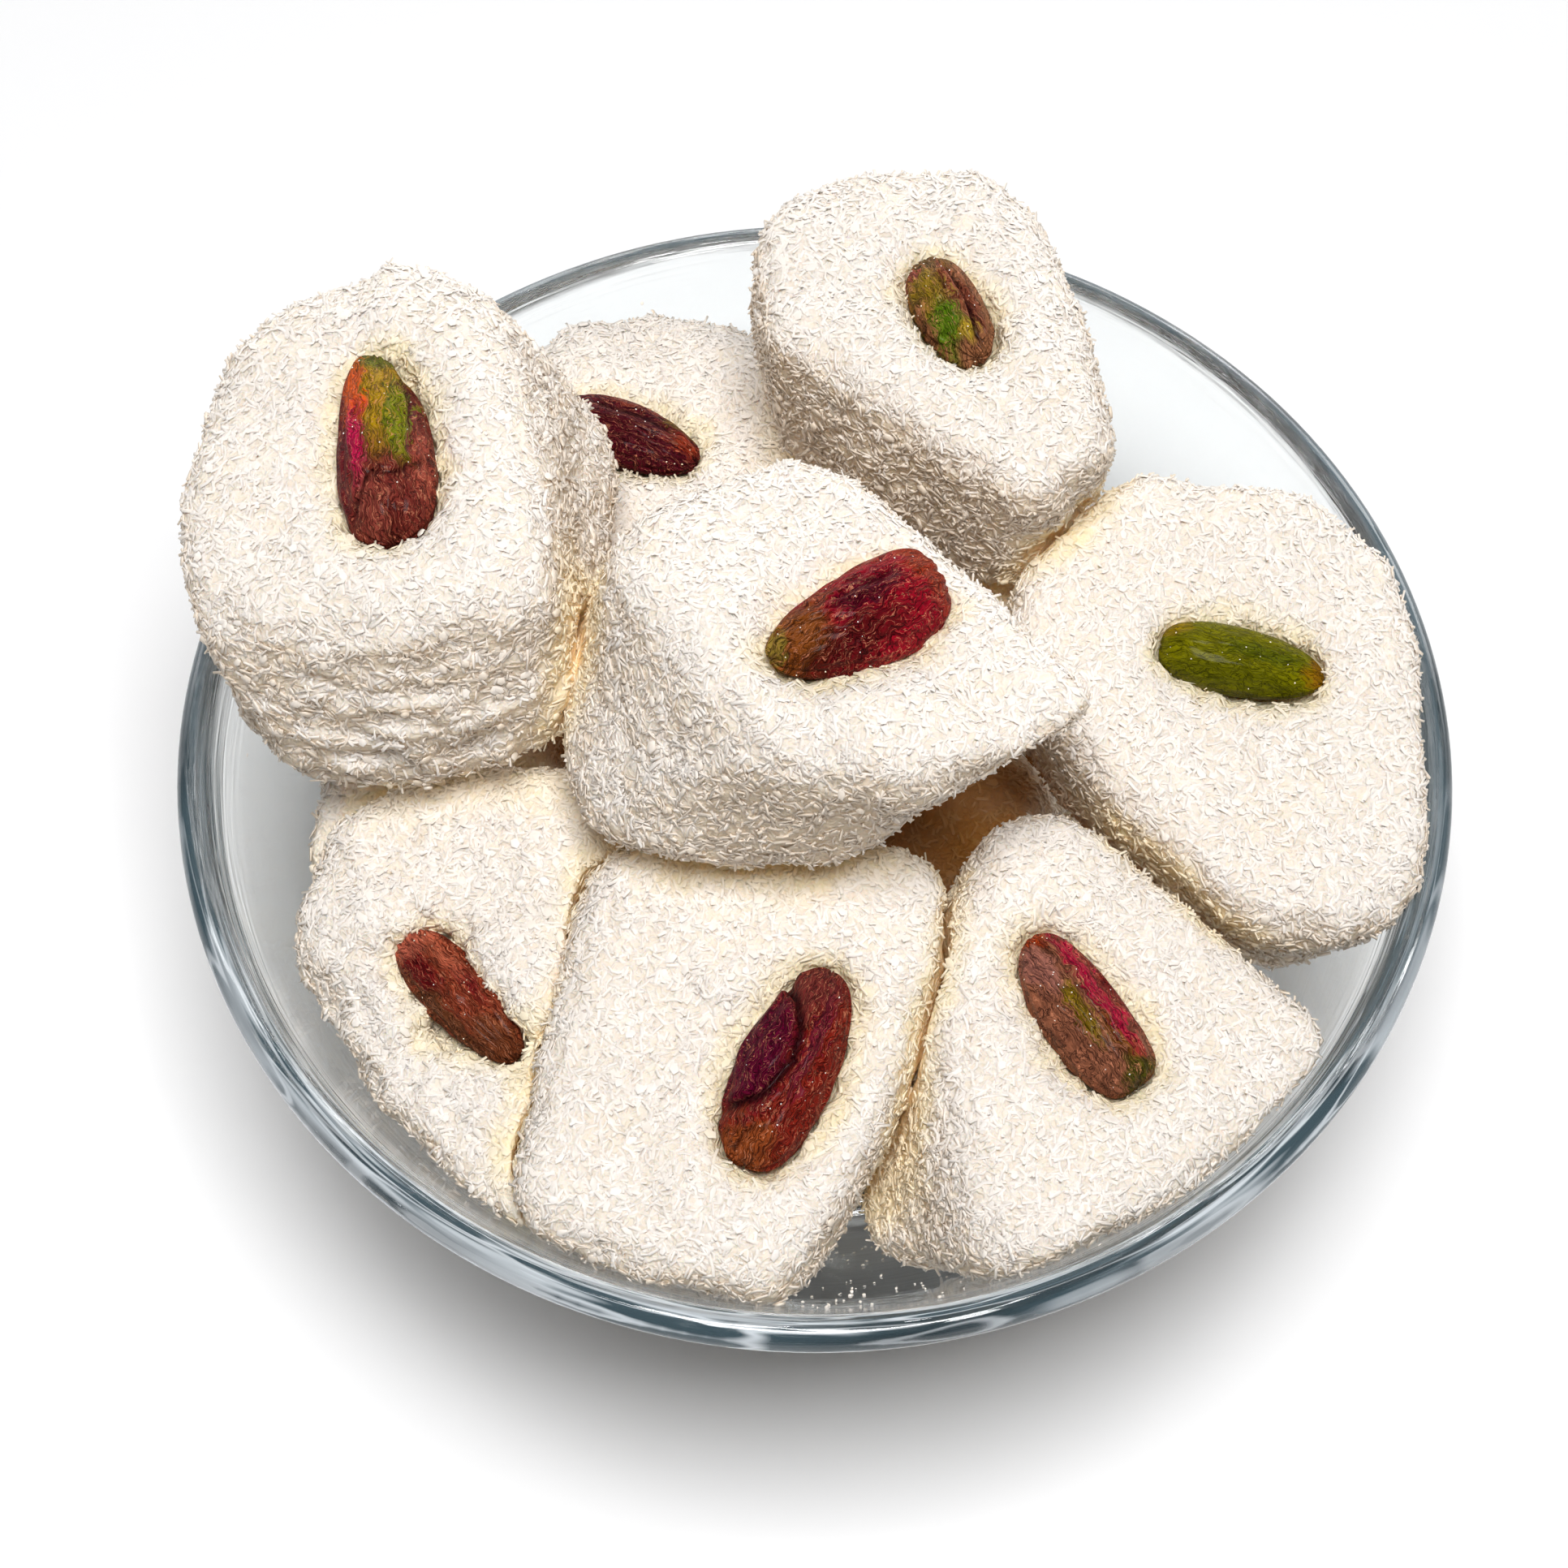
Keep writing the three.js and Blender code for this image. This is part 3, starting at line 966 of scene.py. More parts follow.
@dataclass
class Kernel:
    """A pistachio kernel pressed into a sweet: a spindle with wrinkled skin.

    Fullness and blunt_end say how round its two ends are, from 1 for an ellipse's end to 0 for a
    square one. Bow and tip_shift bend it sideways, in half widths. Waves are rows of wrinkles: how
    many go round the kernel, and how they slant. Drift bends them.
    """

    name: str
    finish: KernelFinish
    folds: tuple[Fold, ...] = ()
    lobes: tuple[Lobe, ...] = ()
    wrinkle: float = 0.2 * MM
    fullness: float = 0.8
    blunt_end: float = 0.75
    taper: float = 0.16
    bow: float = 0.0
    tip_shift: float = 0.0
    rings: int = 72
    sectors: int = 96
    waves: tuple[tuple[int, float], ...] = ((9, 1.2), (14, -2.1), (23, 1.7), (31, -1.1))
    drift: float = 0.8
    drift_rate: float = 3.1
    drift_step: float = 2.1
    lip_share: float = 0.3
    full_crease: float = 0.5

    def _axes(self) -> tuple[Vector, Matrix, Vector]:
        """Finds how the frame's kernel lies.

        Returns:
            Its centre, a matrix whose columns run along, across and up, and its half sizes.
        """
        bm = node_bmesh("pistachio_" + self.name)
        points = np.array([vert.co for vert in bm.verts])
        bm.free()
        _, _, rows = np.linalg.svd(points - points.mean(0), full_matrices=False)
        along = rows[0]
        up = max(rows[1:], key=lambda row: abs(row[2]))
        up = up * np.sign(up[2])
        reach = (points - points.mean(0)) @ along
        centre = points.mean(0) + along * (reach.max() + reach.min()) / 2
        reach = (points - centre) @ along
        girth = np.linalg.norm(points - centre - np.outer(reach, along), axis=1)
        if girth[reach > 0].mean() > girth[reach < 0].mean():
            along = -along
        across = np.cross(up, along)
        half = [np.abs((points - centre) @ axis).max() for axis in (along, across, up)]
        return Vector(centre), Matrix((along, across, up)).transposed(), Vector(half)

    def build(self) -> Object:
        """Shapes a round draft into the kernel.

        Returns:
            The piece.
        """
        centre, turn, half = self._axes()
        bm = bmesh.new()
        bmesh.ops.create_uvsphere(bm, u_segments=self.sectors, v_segments=self.rings, radius=1)
        bmesh.ops.rotate(bm, verts=bm.verts, cent=(0, 0, 0), matrix=Matrix.Rotation(math.pi / 2, 3, "Y"))
        mesh = finished_mesh(ordered(bm))
        unit = rows_of(mesh, "co")
        along, across, up = unit.T
        sine = np.sqrt(np.clip(1 - along**2, 1e-6, 1))
        roundness = np.where(along > 0, self.fullness, self.blunt_end)
        girth = sine ** (roundness - 1) * (1 - self.taper * along)
        bend = self.bow * (1 - along**2) + self.tip_shift * np.maximum(along, 0) ** 2
        across = across * girth + bend
        up = up * girth
        rise, crease = self._relief(along, across, up, half)
        shape = np.stack([along * half.x, across * half.y, up * half.z], axis=1)
        outwards = shape / np.linalg.norm(shape, axis=1, keepdims=True)
        shape = shape + outwards * rise[:, None]
        move_points(mesh, shape @ np.array(turn).T + np.array(centre))
        store(mesh, "along", along)
        store(mesh, "across", across)
        store(mesh, "crease", crease)
        piece = add_piece("kernel_" + self.name, mesh, self.finish.material(self.name))
        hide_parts("pistachio_" + self.name)
        return piece

    def _relief(self, along: np.ndarray, across: np.ndarray, up: np.ndarray, half: Vector) -> tuple:
        """Works out wrinkles, folds and lobes.

        Args:
            along: each point's place along the kernel, from -1 to 1.
            across: each point's place across it.
            up: each point's height.
            half: the kernel's half sizes.

        Returns:
            How far each point moves out, in metres, and how deep in a crease it is, from 0 to 1.
        """
        around = np.arctan2(across, up)
        phase = sum(map(ord, self.name))
        waves = np.zeros_like(along)
        for k, (count, slant) in enumerate(self.waves):
            drift = self.drift * np.sin(self.drift_rate * along + phase + self.drift_step * k)
            waves += np.sin(count * around + slant * along * 3 + drift * 2 + phase * (k + 1)) / (k + 2)
        rise = self.wrinkle * waves
        crease = np.zeros_like(along)
        top = np.clip(up * 4 + 1, 0, 1)
        flat = np.stack([along * half.x, across * half.y], axis=1) / MM
        for fold in self.folds:
            line = np.array(fold.line) * np.array([half.x, half.y]) / MM
            away = distance_to_line(flat, line)
            bite = np.exp(-((away / fold.width) ** 2)) * top
            lips = np.exp(-(((away - 2 * fold.width) / fold.width) ** 2)) * top
            rise += (self.lip_share * lips - bite) * fold.depth * MM
            crease = np.maximum(crease, bite * min(1.0, fold.depth / self.full_crease))
        for lobe in self.lobes:
            place = np.array([lobe.along * half.x, lobe.across * half.y]) / MM
            away = np.linalg.norm(flat - place, axis=1) / lobe.reach
            rise += lobe.rise * MM * np.exp(-(away**2)) * top
        return rise, crease


def distance_to_line(points: np.ndarray, line: np.ndarray) -> np.ndarray:
    """Measures how far points are from a broken line.

    Args:
        points: rows of two numbers.
        line: the line's own points.

    Returns:
        One distance for each point.
    """
    best = np.full(len(points), np.inf)
    for start, end in zip(line, line[1:]):
        step = end - start
        share = np.clip((points - start) @ step / (step @ step), 0, 1)
        best = np.minimum(best, np.linalg.norm(points - start - share[:, None] * step, axis=1))
    return best


KERNELS = (
    Kernel(
        "left_upper",
        KernelFinish(
            srgb(108, 42, 36),
            (
                Patch(0.5, -0.1, 0.75, 0.5, srgb(156, 122, 12)),
                Patch(0.1, -0.5, 0.5, 0.25, srgb(112, 118, 12)),
                Patch(0.95, 0.0, 0.22, 0.6, srgb(100, 104, 20)),
                Patch(0.45, 0.42, 0.5, 0.26, srgb(214, 84, 10)),
                Patch(-0.1, 0.42, 0.45, 0.2, srgb(178, 22, 70)),
                Patch(-0.2, 0.85, 0.6, 0.25, srgb(97, 18, 28)),
                Patch(-0.75, 0.3, 0.3, 0.5, srgb(136, 64, 54), 0.7),
                Patch(-0.4, -0.85, 0.4, 0.16, srgb(150, 70, 56), 0.8),
            ),
        ),
        (
            Fold(((-0.8, 0.65), (-0.5, 0.2), (-0.55, -0.4), (-0.4, -0.85)), 0.4, 0.4),
            Fold(((-0.3, 0.3), (0.2, 0.42), (0.8, 0.35)), 0.35, 0.25),
            Fold(((-0.3, -0.7), (0.3, -0.75), (0.8, -0.45)), 0.3, 0.35),
        ),
        taper=0.24,
        tip_shift=0.2,
        blunt_end=0.7,
    ),
    Kernel(
        "back_low",
        KernelFinish(
            srgb(78, 20, 31),
            (
                Patch(-0.4, 0.7, 0.8, 0.25, srgb(113, 50, 40)),
                Patch(0.6, 0.6, 0.25, 0.25, srgb(101, 76, 31)),
                Patch(0.8, 0.0, 0.2, 0.3, srgb(138, 50, 31)),
            ),
        ),
        (Fold(((-0.5, 0.2), (0.1, 0.3), (0.6, 0.2)), 0.4, 0.4),),
    ),
    Kernel(
        "back_upper",
        KernelFinish(
            srgb(142, 94, 64),
            (
                Patch(0.3, 0.5, 0.6, 0.45, srgb(140, 114, 34)),
                Patch(-0.4, 0.45, 0.45, 0.4, srgb(84, 116, 20)),
                Patch(-0.65, 0.1, 0.2, 0.3, srgb(171, 143, 44)),
                Patch(0.85, -0.1, 0.3, 0.6, srgb(113, 84, 43)),
                Patch(0.75, 0.6, 0.2, 0.2, srgb(158, 76, 62)),
                Patch(0.2, -0.15, 0.6, 0.14, srgb(144, 76, 53)),
                Patch(-0.2, -0.4, 0.5, 0.16, srgb(106, 46, 38), 0.8),
            ),
        ),
        (
            Fold(((-0.85, -0.2), (0.0, -0.35), (0.6, -0.3)), 0.35, 0.6),
            Fold(((-0.05, 0.5), (0.0, 0.1), (-0.1, -0.1)), 0.25, 0.35),
            Fold(((0.2, 0.1), (0.4, 0.05)), 0.3, 0.4),
        ),
        (Lobe(-0.95, 0.6, 2.2, -1.2),),
        taper=-0.04,
    ),
    Kernel(
        "centre_top",
        KernelFinish(
            srgb(140, 14, 34),
            (
                Patch(-0.85, 0.0, 0.25, 0.9, srgb(146, 50, 28)),
                Patch(-0.1, 0.05, 0.4, 0.35, srgb(84, 8, 30)),
                Patch(0.75, 0.1, 0.35, 0.7, srgb(122, 66, 26)),
                Patch(0.97, -0.1, 0.14, 0.3, srgb(138, 114, 47)),
                Patch(0.3, 0.75, 0.6, 0.35, srgb(70, 18, 16), 0.8),
                Patch(-0.2, -0.8, 0.7, 0.25, srgb(136, 40, 26)),
                Patch(0.4, -0.4, 0.3, 0.2, srgb(108, 56, 24), 0.7),
            ),
        ),
        (
            Fold(((-0.35, -0.02), (0.1, -0.08), (0.5, -0.3)), 0.35, 0.3),
            Fold(((0.2, 0.5), (0.5, 0.1), (0.8, -0.2)), 0.35, 0.25),
        ),
        taper=0.2,
        bow=0.16,
        blunt_end=0.5,
    ),
    Kernel(
        "right",
        KernelFinish(
            srgb(114, 111, 5),
            (
                Patch(0.0, 0.75, 0.9, 0.35, srgb(86, 86, 5), 0.8),
                Patch(-0.95, -0.1, 0.2, 0.5, srgb(142, 99, 9)),
                Patch(0.92, -0.55, 0.25, 0.4, srgb(140, 116, 10)),
                Patch(-0.2, -0.1, 0.5, 0.25, srgb(74, 84, 6), 0.7),
                Patch(-0.3, -0.7, 0.6, 0.2, srgb(112, 107, 9), 0.7),
            ),
            crease=srgb(38, 41, 4),
            fibre=srgb(140, 133, 21),
            fibre_share=0.2,
            groove_share=0.15,
            roughness=0.36,
        ),
        (Fold(((-0.6, 0.1), (0.0, -0.1), (0.5, 0.05)), 0.9, 0.18),),
        wrinkle=0.07 * MM,
        taper=-0.1,
        fullness=0.62,
        blunt_end=0.95,
    ),
    Kernel(
        "front_left",
        KernelFinish(
            srgb(136, 60, 40),
            (
                Patch(-0.8, 0.1, 0.4, 0.7, srgb(112, 60, 36)),
                Patch(-0.1, 0.7, 0.9, 0.25, srgb(98, 56, 34)),
                Patch(0.5, 0.3, 0.36, 0.36, srgb(104, 22, 26)),
                Patch(0.1, -0.45, 0.4, 0.2, srgb(115, 31, 31)),
                Patch(0.92, -0.1, 0.24, 0.8, srgb(190, 98, 78)),
                Patch(0.5, -0.5, 0.45, 0.26, srgb(178, 90, 66), 0.9),
            ),
        ),
        (
            Fold(((0.2, 0.55), (0.0, 0.25), (0.25, -0.15), (0.65, -0.2), (0.9, 0.1)), 0.35, 0.3),
            Fold(((0.5, 0.35), (0.8, 0.2)), 0.3, 0.25),
        ),
        taper=-0.1,
        fullness=0.65,
        blunt_end=0.85,
    ),
    Kernel(
        "front_middle",
        KernelFinish(
            srgb(122, 34, 24),
            (
                Patch(0.0, 0.55, 0.62, 0.6, srgb(88, 8, 42)),
                Patch(0.75, 0.1, 0.3, 0.6, srgb(108, 44, 42)),
                Patch(-0.9, 0.1, 0.25, 0.6, srgb(142, 70, 34)),
                Patch(0.2, -0.35, 0.6, 0.16, srgb(107, 28, 44)),
            ),
        ),
        (
            Fold(
                ((-0.62, 0.75), (-0.45, 0.2), (0.0, -0.12), (0.35, 0.0), (0.6, 0.35), (0.72, 0.7)),
                0.55, 0.8,
            ),
            Fold(((-0.95, 0.3), (-0.75, 0.2)), 0.3, 0.4),
        ),
        (Lobe(0.0, 0.5, 3.0, 0.6),),
        taper=0.08,
        blunt_end=0.7,
    ),
    Kernel(
        "front_right",
        KernelFinish(
            srgb(136, 84, 62),
            (
                Patch(-0.5, -0.2, 0.45, 0.25, srgb(112, 68, 22)),
                Patch(0.0, 0.3, 0.5, 0.2, srgb(118, 96, 18)),
                Patch(0.7, 0.5, 0.4, 0.4, srgb(150, 96, 84)),
                Patch(0.15, -0.32, 0.9, 0.22, srgb(166, 16, 56)),
                Patch(0.1, -0.8, 0.8, 0.25, srgb(122, 38, 33)),
                Patch(-0.92, -0.1, 0.14, 0.5, srgb(79, 75, 23)),
                Patch(1.0, 0.1, 0.12, 0.3, srgb(161, 62, 29)),
            ),
        ),
        (
            Fold(((-0.85, 0.0), (0.0, -0.03), (0.9, 0.05)), 0.3, 0.3),
            Fold(((-0.4, 0.8), (-0.2, 0.5), (0.1, 0.55)), 0.3, 0.25),
        ),
        taper=0.05,
        bow=0.12,
        blunt_end=0.5,
    ),
)


# ---------------------------------------------------------------- coconut
class Cut(Enum):
    """The forms that grated coconut comes in."""

    GRAIN = "grains"
    SLIVER = "slivers"
    STRAND = "strands"
    CURL = "curls"
    FLAKE = "flakes"
    CRUMB = "crumbs"
    DUST = "dust"


@dataclass(frozen=True)
class CutShape:
    """One form of grated coconut, and how much of it is strewn.

    Length and width are ranges, in mm. Lift says how far pieces stand up at one end, in degrees, and
    spikes is the share of them that stand up more.
    """

    cut: Cut
    count: int
    bend: float
    bands: int
    length: Pair
    width: Pair
    lift: float
    spikes: float = 0.0

    def template(self) -> tuple[np.ndarray, np.ndarray]:
        """Models the form with few faces.

        Returns:
            Its points, lying along X, and its triangles.
        """
        full, blunt, sharp = 0.5, 0.42, 0.02
        flake_depth, weld = 0.3, 0.05
        bm = bmesh.new()
        if self.cut in (Cut.CRUMB, Cut.DUST):
            bmesh.ops.create_icosphere(bm, subdivisions=1, radius=full)
        elif self.cut is Cut.FLAKE:
            bmesh.ops.create_cone(
                bm, cap_ends=True, segments=5, radius1=full, radius2=blunt, depth=flake_depth
            )
        else:
            tip = sharp if self.cut is Cut.SLIVER else blunt
            bmesh.ops.create_cone(bm, cap_ends=True, segments=3, radius1=full, radius2=tip, depth=1)
            turn = Matrix.Rotation(math.pi / 2, 3, "Y")
            bmesh.ops.rotate(bm, verts=bm.verts, cent=(0, 0, 0), matrix=turn)
            if self.cut is Cut.SLIVER:
                bmesh.ops.remove_doubles(bm, verts=bm.verts, dist=weld)
            for i in range(1, self.bands):
                place = i / self.bands - 0.5
                geometry = bm.verts[:] + bm.edges[:] + bm.faces[:]
                bmesh.ops.bisect_plane(bm, geom=geometry, plane_co=(place, 0, 0), plane_no=(1, 0, 0))
        bmesh.ops.triangulate(bm, faces=bm.faces)
        bmesh.ops.recalc_face_normals(bm, faces=bm.faces)
        bm.verts.index_update()
        points = np.array([vert.co for vert in bm.verts])
        faces = np.array([[vert.index for vert in face.verts] for face in bm.faces])
        bm.free()
        return points, faces


CUTS = (
    CutShape(Cut.GRAIN, 24000, 0.0, 1, (0.7, 1.4), (0.3, 0.46), 18, 0.12),
    CutShape(Cut.SLIVER, 24000, 0.0, 1, (0.9, 1.6), (0.3, 0.42), 10, 0.05),
    CutShape(Cut.STRAND, 14000, 0.8, 2, (1.1, 2.0), (0.28, 0.42), 11, 0.07),
    CutShape(Cut.CURL, 9500, 1.8, 3, (1.2, 2.0), (0.26, 0.38), 12, 0.06),
    CutShape(Cut.FLAKE, 2600, 0.0, 1, (0.7, 1.5), (0.5, 1.0), 8),
    CutShape(Cut.CRUMB, 200, 0.0, 1, (0.14, 0.5), (0.14, 0.4), 20),
    CutShape(Cut.DUST, 160, 0.0, 1, (0.08, 0.22), (0.08, 0.18), 20),
)
# How far the shading of pieces leans to the ground where that is steep and where it is level, and how
# much flatter pieces lie where it is level.
STEEP_SOFTNESS = 0.2
LEVEL_SOFTNESS = 0.7
LEVEL_FLATNESS = 0.4
COARSE = ("packed_left_upper", "packed_front_left", "packed_front_middle")


@dataclass
class Ground:
    """A surface that coconut lies on: places and the directions they face."""

    points: np.ndarray
    normals: np.ndarray

    @classmethod
    def of_piece(cls, piece: Object, count: int, rng: np.random.Generator) -> "Ground":
        """Picks places on a piece, even over its surface.

        Args:
            piece: the piece.
            count: how many places.
            rng: where chance comes from.

        Returns:
            The places.
        """
        mesh = piece.data
        mesh.calc_loop_triangles()
        corners = np.empty(len(mesh.loop_triangles) * 3, int)
        mesh.loop_triangles.foreach_get("vertices", corners)
        corners = rows_of(mesh, "co")[corners.reshape(-1, 3)]
        cross = np.cross(corners[:, 1] - corners[:, 0], corners[:, 2] - corners[:, 0])
        area = np.linalg.norm(cross, axis=1)
        picked = rng.choice(len(area), count, p=area / area.sum())
        shares = rng.dirichlet((1, 1, 1), count)
        points = (corners[picked] * shares[:, :, None]).sum(1)
        return cls(points, cross[picked] / area[picked][:, None])

    @classmethod
    def joined(cls, parts: "Iterable[Ground]") -> "Ground":
        """Joins several grounds.

        Args:
            parts: the grounds.

        Returns:
            One ground with all their places.
        """
        parts = list(parts)
        points = np.concatenate([part.points for part in parts])
        return cls(points, np.concatenate([part.normals for part in parts]))

    def only(self, chosen: np.ndarray) -> "Ground":
        """Returns the chosen places."""
        return Ground(self.points[chosen], self.normals[chosen])


class Heap:
    """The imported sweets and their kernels, and how shut in between them each place is.

    Two measures are kept, both from 0 in the open to 1. "narrow" is high between pieces that nearly
    touch, and "cave" in a roomy hollow that little of the sky shines into. They are taken at a number
    of lookouts on each sweet. Look_off and open_off say how far above the surface a ray starts, in mm.
    """

    measures = ("narrow", "cave")
    narrow_reach = 16 * MM
    cave_reach = 90 * MM
    cave_room = 5 * MM
    cell = 1.5 * MM
    lookouts = 2200
    rays = 24
    look_off = 0.4
    open_off = 0.25
    low = np.array((-66, -66, -4)) * MM
    counts = (88, 88, 66)

    def __init__(self, sweets: list[Object], nuts: list[Object]) -> None:
        """Measures the heap.

        Args:
            sweets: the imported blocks.
            nuts: the kernels.
        """
        self.rng = np.random.default_rng(SEED)
        self.sweets = sweets
        self.nuts = nuts
        self.tree = self._tree()
        self.depths = self._measured()
        for piece in sweets:
            self.mark(piece.data, Ground(rows_of(piece.data, "co"), rows_of(piece.data, "normal")))

    def _tree(self) -> BVHTree:
        """Puts all the pieces in one search tree.

        Returns:
            The tree.
        """
        points, faces, offset = [], [], 0
        for piece in self.sweets + self.nuts:
            rows = rows_of(piece.data, "co")
            points.append(rows)
            faces += [[offset + i for i in polygon.vertices] for polygon in piece.data.polygons]
            offset += len(rows)
        return BVHTree.FromPolygons(np.concatenate(points).tolist(), faces)

    def _measured(self) -> np.ndarray:
        """Looks around from many places and averages what is found in a grid of cells.

        Returns:
            The measures of each cell.
        """
        ground = Ground.joined(Ground.of_piece(piece, self.lookouts, self.rng) for piece in self.sweets)
        total = np.zeros((*self.counts, len(self.measures)))
        weight = np.zeros((*self.counts, 1))
        where = tuple(self._cell_of(ground.points).T)
        np.add.at(total, where, self._hidden(ground))
        np.add.at(weight, where, 1.0)
        for axis in range(3):
            total = sum(np.roll(total, step, axis) for step in (-1, 0, 1))
            weight = sum(np.roll(weight, step, axis) for step in (-1, 0, 1))
        return total / np.maximum(weight, 1.0)

    def _cell_of(self, points: np.ndarray) -> np.ndarray:
        """Returns which cell of the grid each point lies in."""
        cells = np.floor((points - self.low) / self.cell).astype(int)
        return np.clip(cells, 0, np.array(self.counts) - 1)

    def _hidden(self, ground: Ground) -> np.ndarray:
        """Looks out from each place in many directions.

        Args:
            ground: the places.

        Returns:
            A row of the measures for each place.
        """
        turn = self.rng.uniform(0, math.tau, (len(ground.points), self.rays))
        out = np.sqrt(self.rng.random((len(ground.points), self.rays)))
        sideways, ahead = perpendiculars(ground.normals, self.rng)
        height = np.sqrt(1 - out**2)
        views = (out * np.cos(turn))[..., None] * sideways[:, None]
        views += (out * np.sin(turn))[..., None] * ahead[:, None]
        views += height[..., None] * ground.normals[:, None]
        free = 2 * self.cave_reach
        far = np.full(views.shape[:2], free)
        for i, (point, normal) in enumerate(zip(ground.points, ground.normals)):
            start = Vector(point + normal * self.look_off * MM)
            hits = (self.tree.ray_cast(start, view, self.cave_reach)[3] for view in map(Vector, views[i]))
            far[i] = [free if hit is None else hit for hit in hits]
        narrow = np.clip(1 - far / self.narrow_reach, 0, 1).mean(1)
        cave = ((far > self.cave_room) & (far < free)).mean(1)
        return np.stack([narrow, cave], axis=1)

    def shut_in(self, points: np.ndarray) -> np.ndarray:
        """Reads the measures at places, blended between the cells around them.

        Args:
            points: the places.

        Returns:
            A row of the measures for each place.
        """
        spot = (points - self.low) / self.cell - 0.5
        base = np.floor(spot).astype(int)
        part = spot - base
        result = np.zeros((len(points), len(self.measures)))
        for corner in np.ndindex(2, 2, 2):
            share = np.prod(np.where(corner, part, 1 - part), axis=1)
            cell = np.clip(base + corner, 0, np.array(self.counts) - 1)
            result += share[:, None] * self.depths[tuple(cell.T)]
        return result

    def mark(self, mesh: Mesh, ground: Ground, copies: int = 1) -> None:
        """Stores the measures on a mesh, and how steep it is there, which choose where painted shade
        lies.

        Args:
            mesh: the mesh.
            ground: where they are read.
            copies: how many of the mesh's points belong to each of those places.
        """
        for name, values in zip(self.measures, self.shut_in(ground.points).T):
            store(mesh, name, np.repeat(values, copies))
        store(mesh, "steep", np.repeat(1 - np.abs(ground.normals[:, 2]), copies))

    def open(self, ground: Ground, room: float) -> Ground:
        """Keeps the places that have room above them.

        Args:
            ground: the places.
            room: how much room there has to be.

        Returns:
            The places kept.
        """
        keep = []
        for point, normal in zip(ground.points, ground.normals):
            start = Vector(point + normal * self.open_off * MM)
            keep.append(self.tree.ray_cast(start, Vector(normal), room)[0] is None)
        return ground.only(np.array(keep, bool))


def perpendiculars(normals: np.ndarray, rng: np.random.Generator) -> tuple[np.ndarray, np.ndarray]:
    """Finds two directions along a surface, turned at random.

    Args:
        normals: the surface's directions, of length 1.
        rng: where chance comes from.

    Returns:
        The two directions at each place.
    """
    side = np.cross(normals, rng.normal(size=normals.shape))
    side /= np.linalg.norm(side, axis=1, keepdims=True)
    return side, np.cross(side, normals)


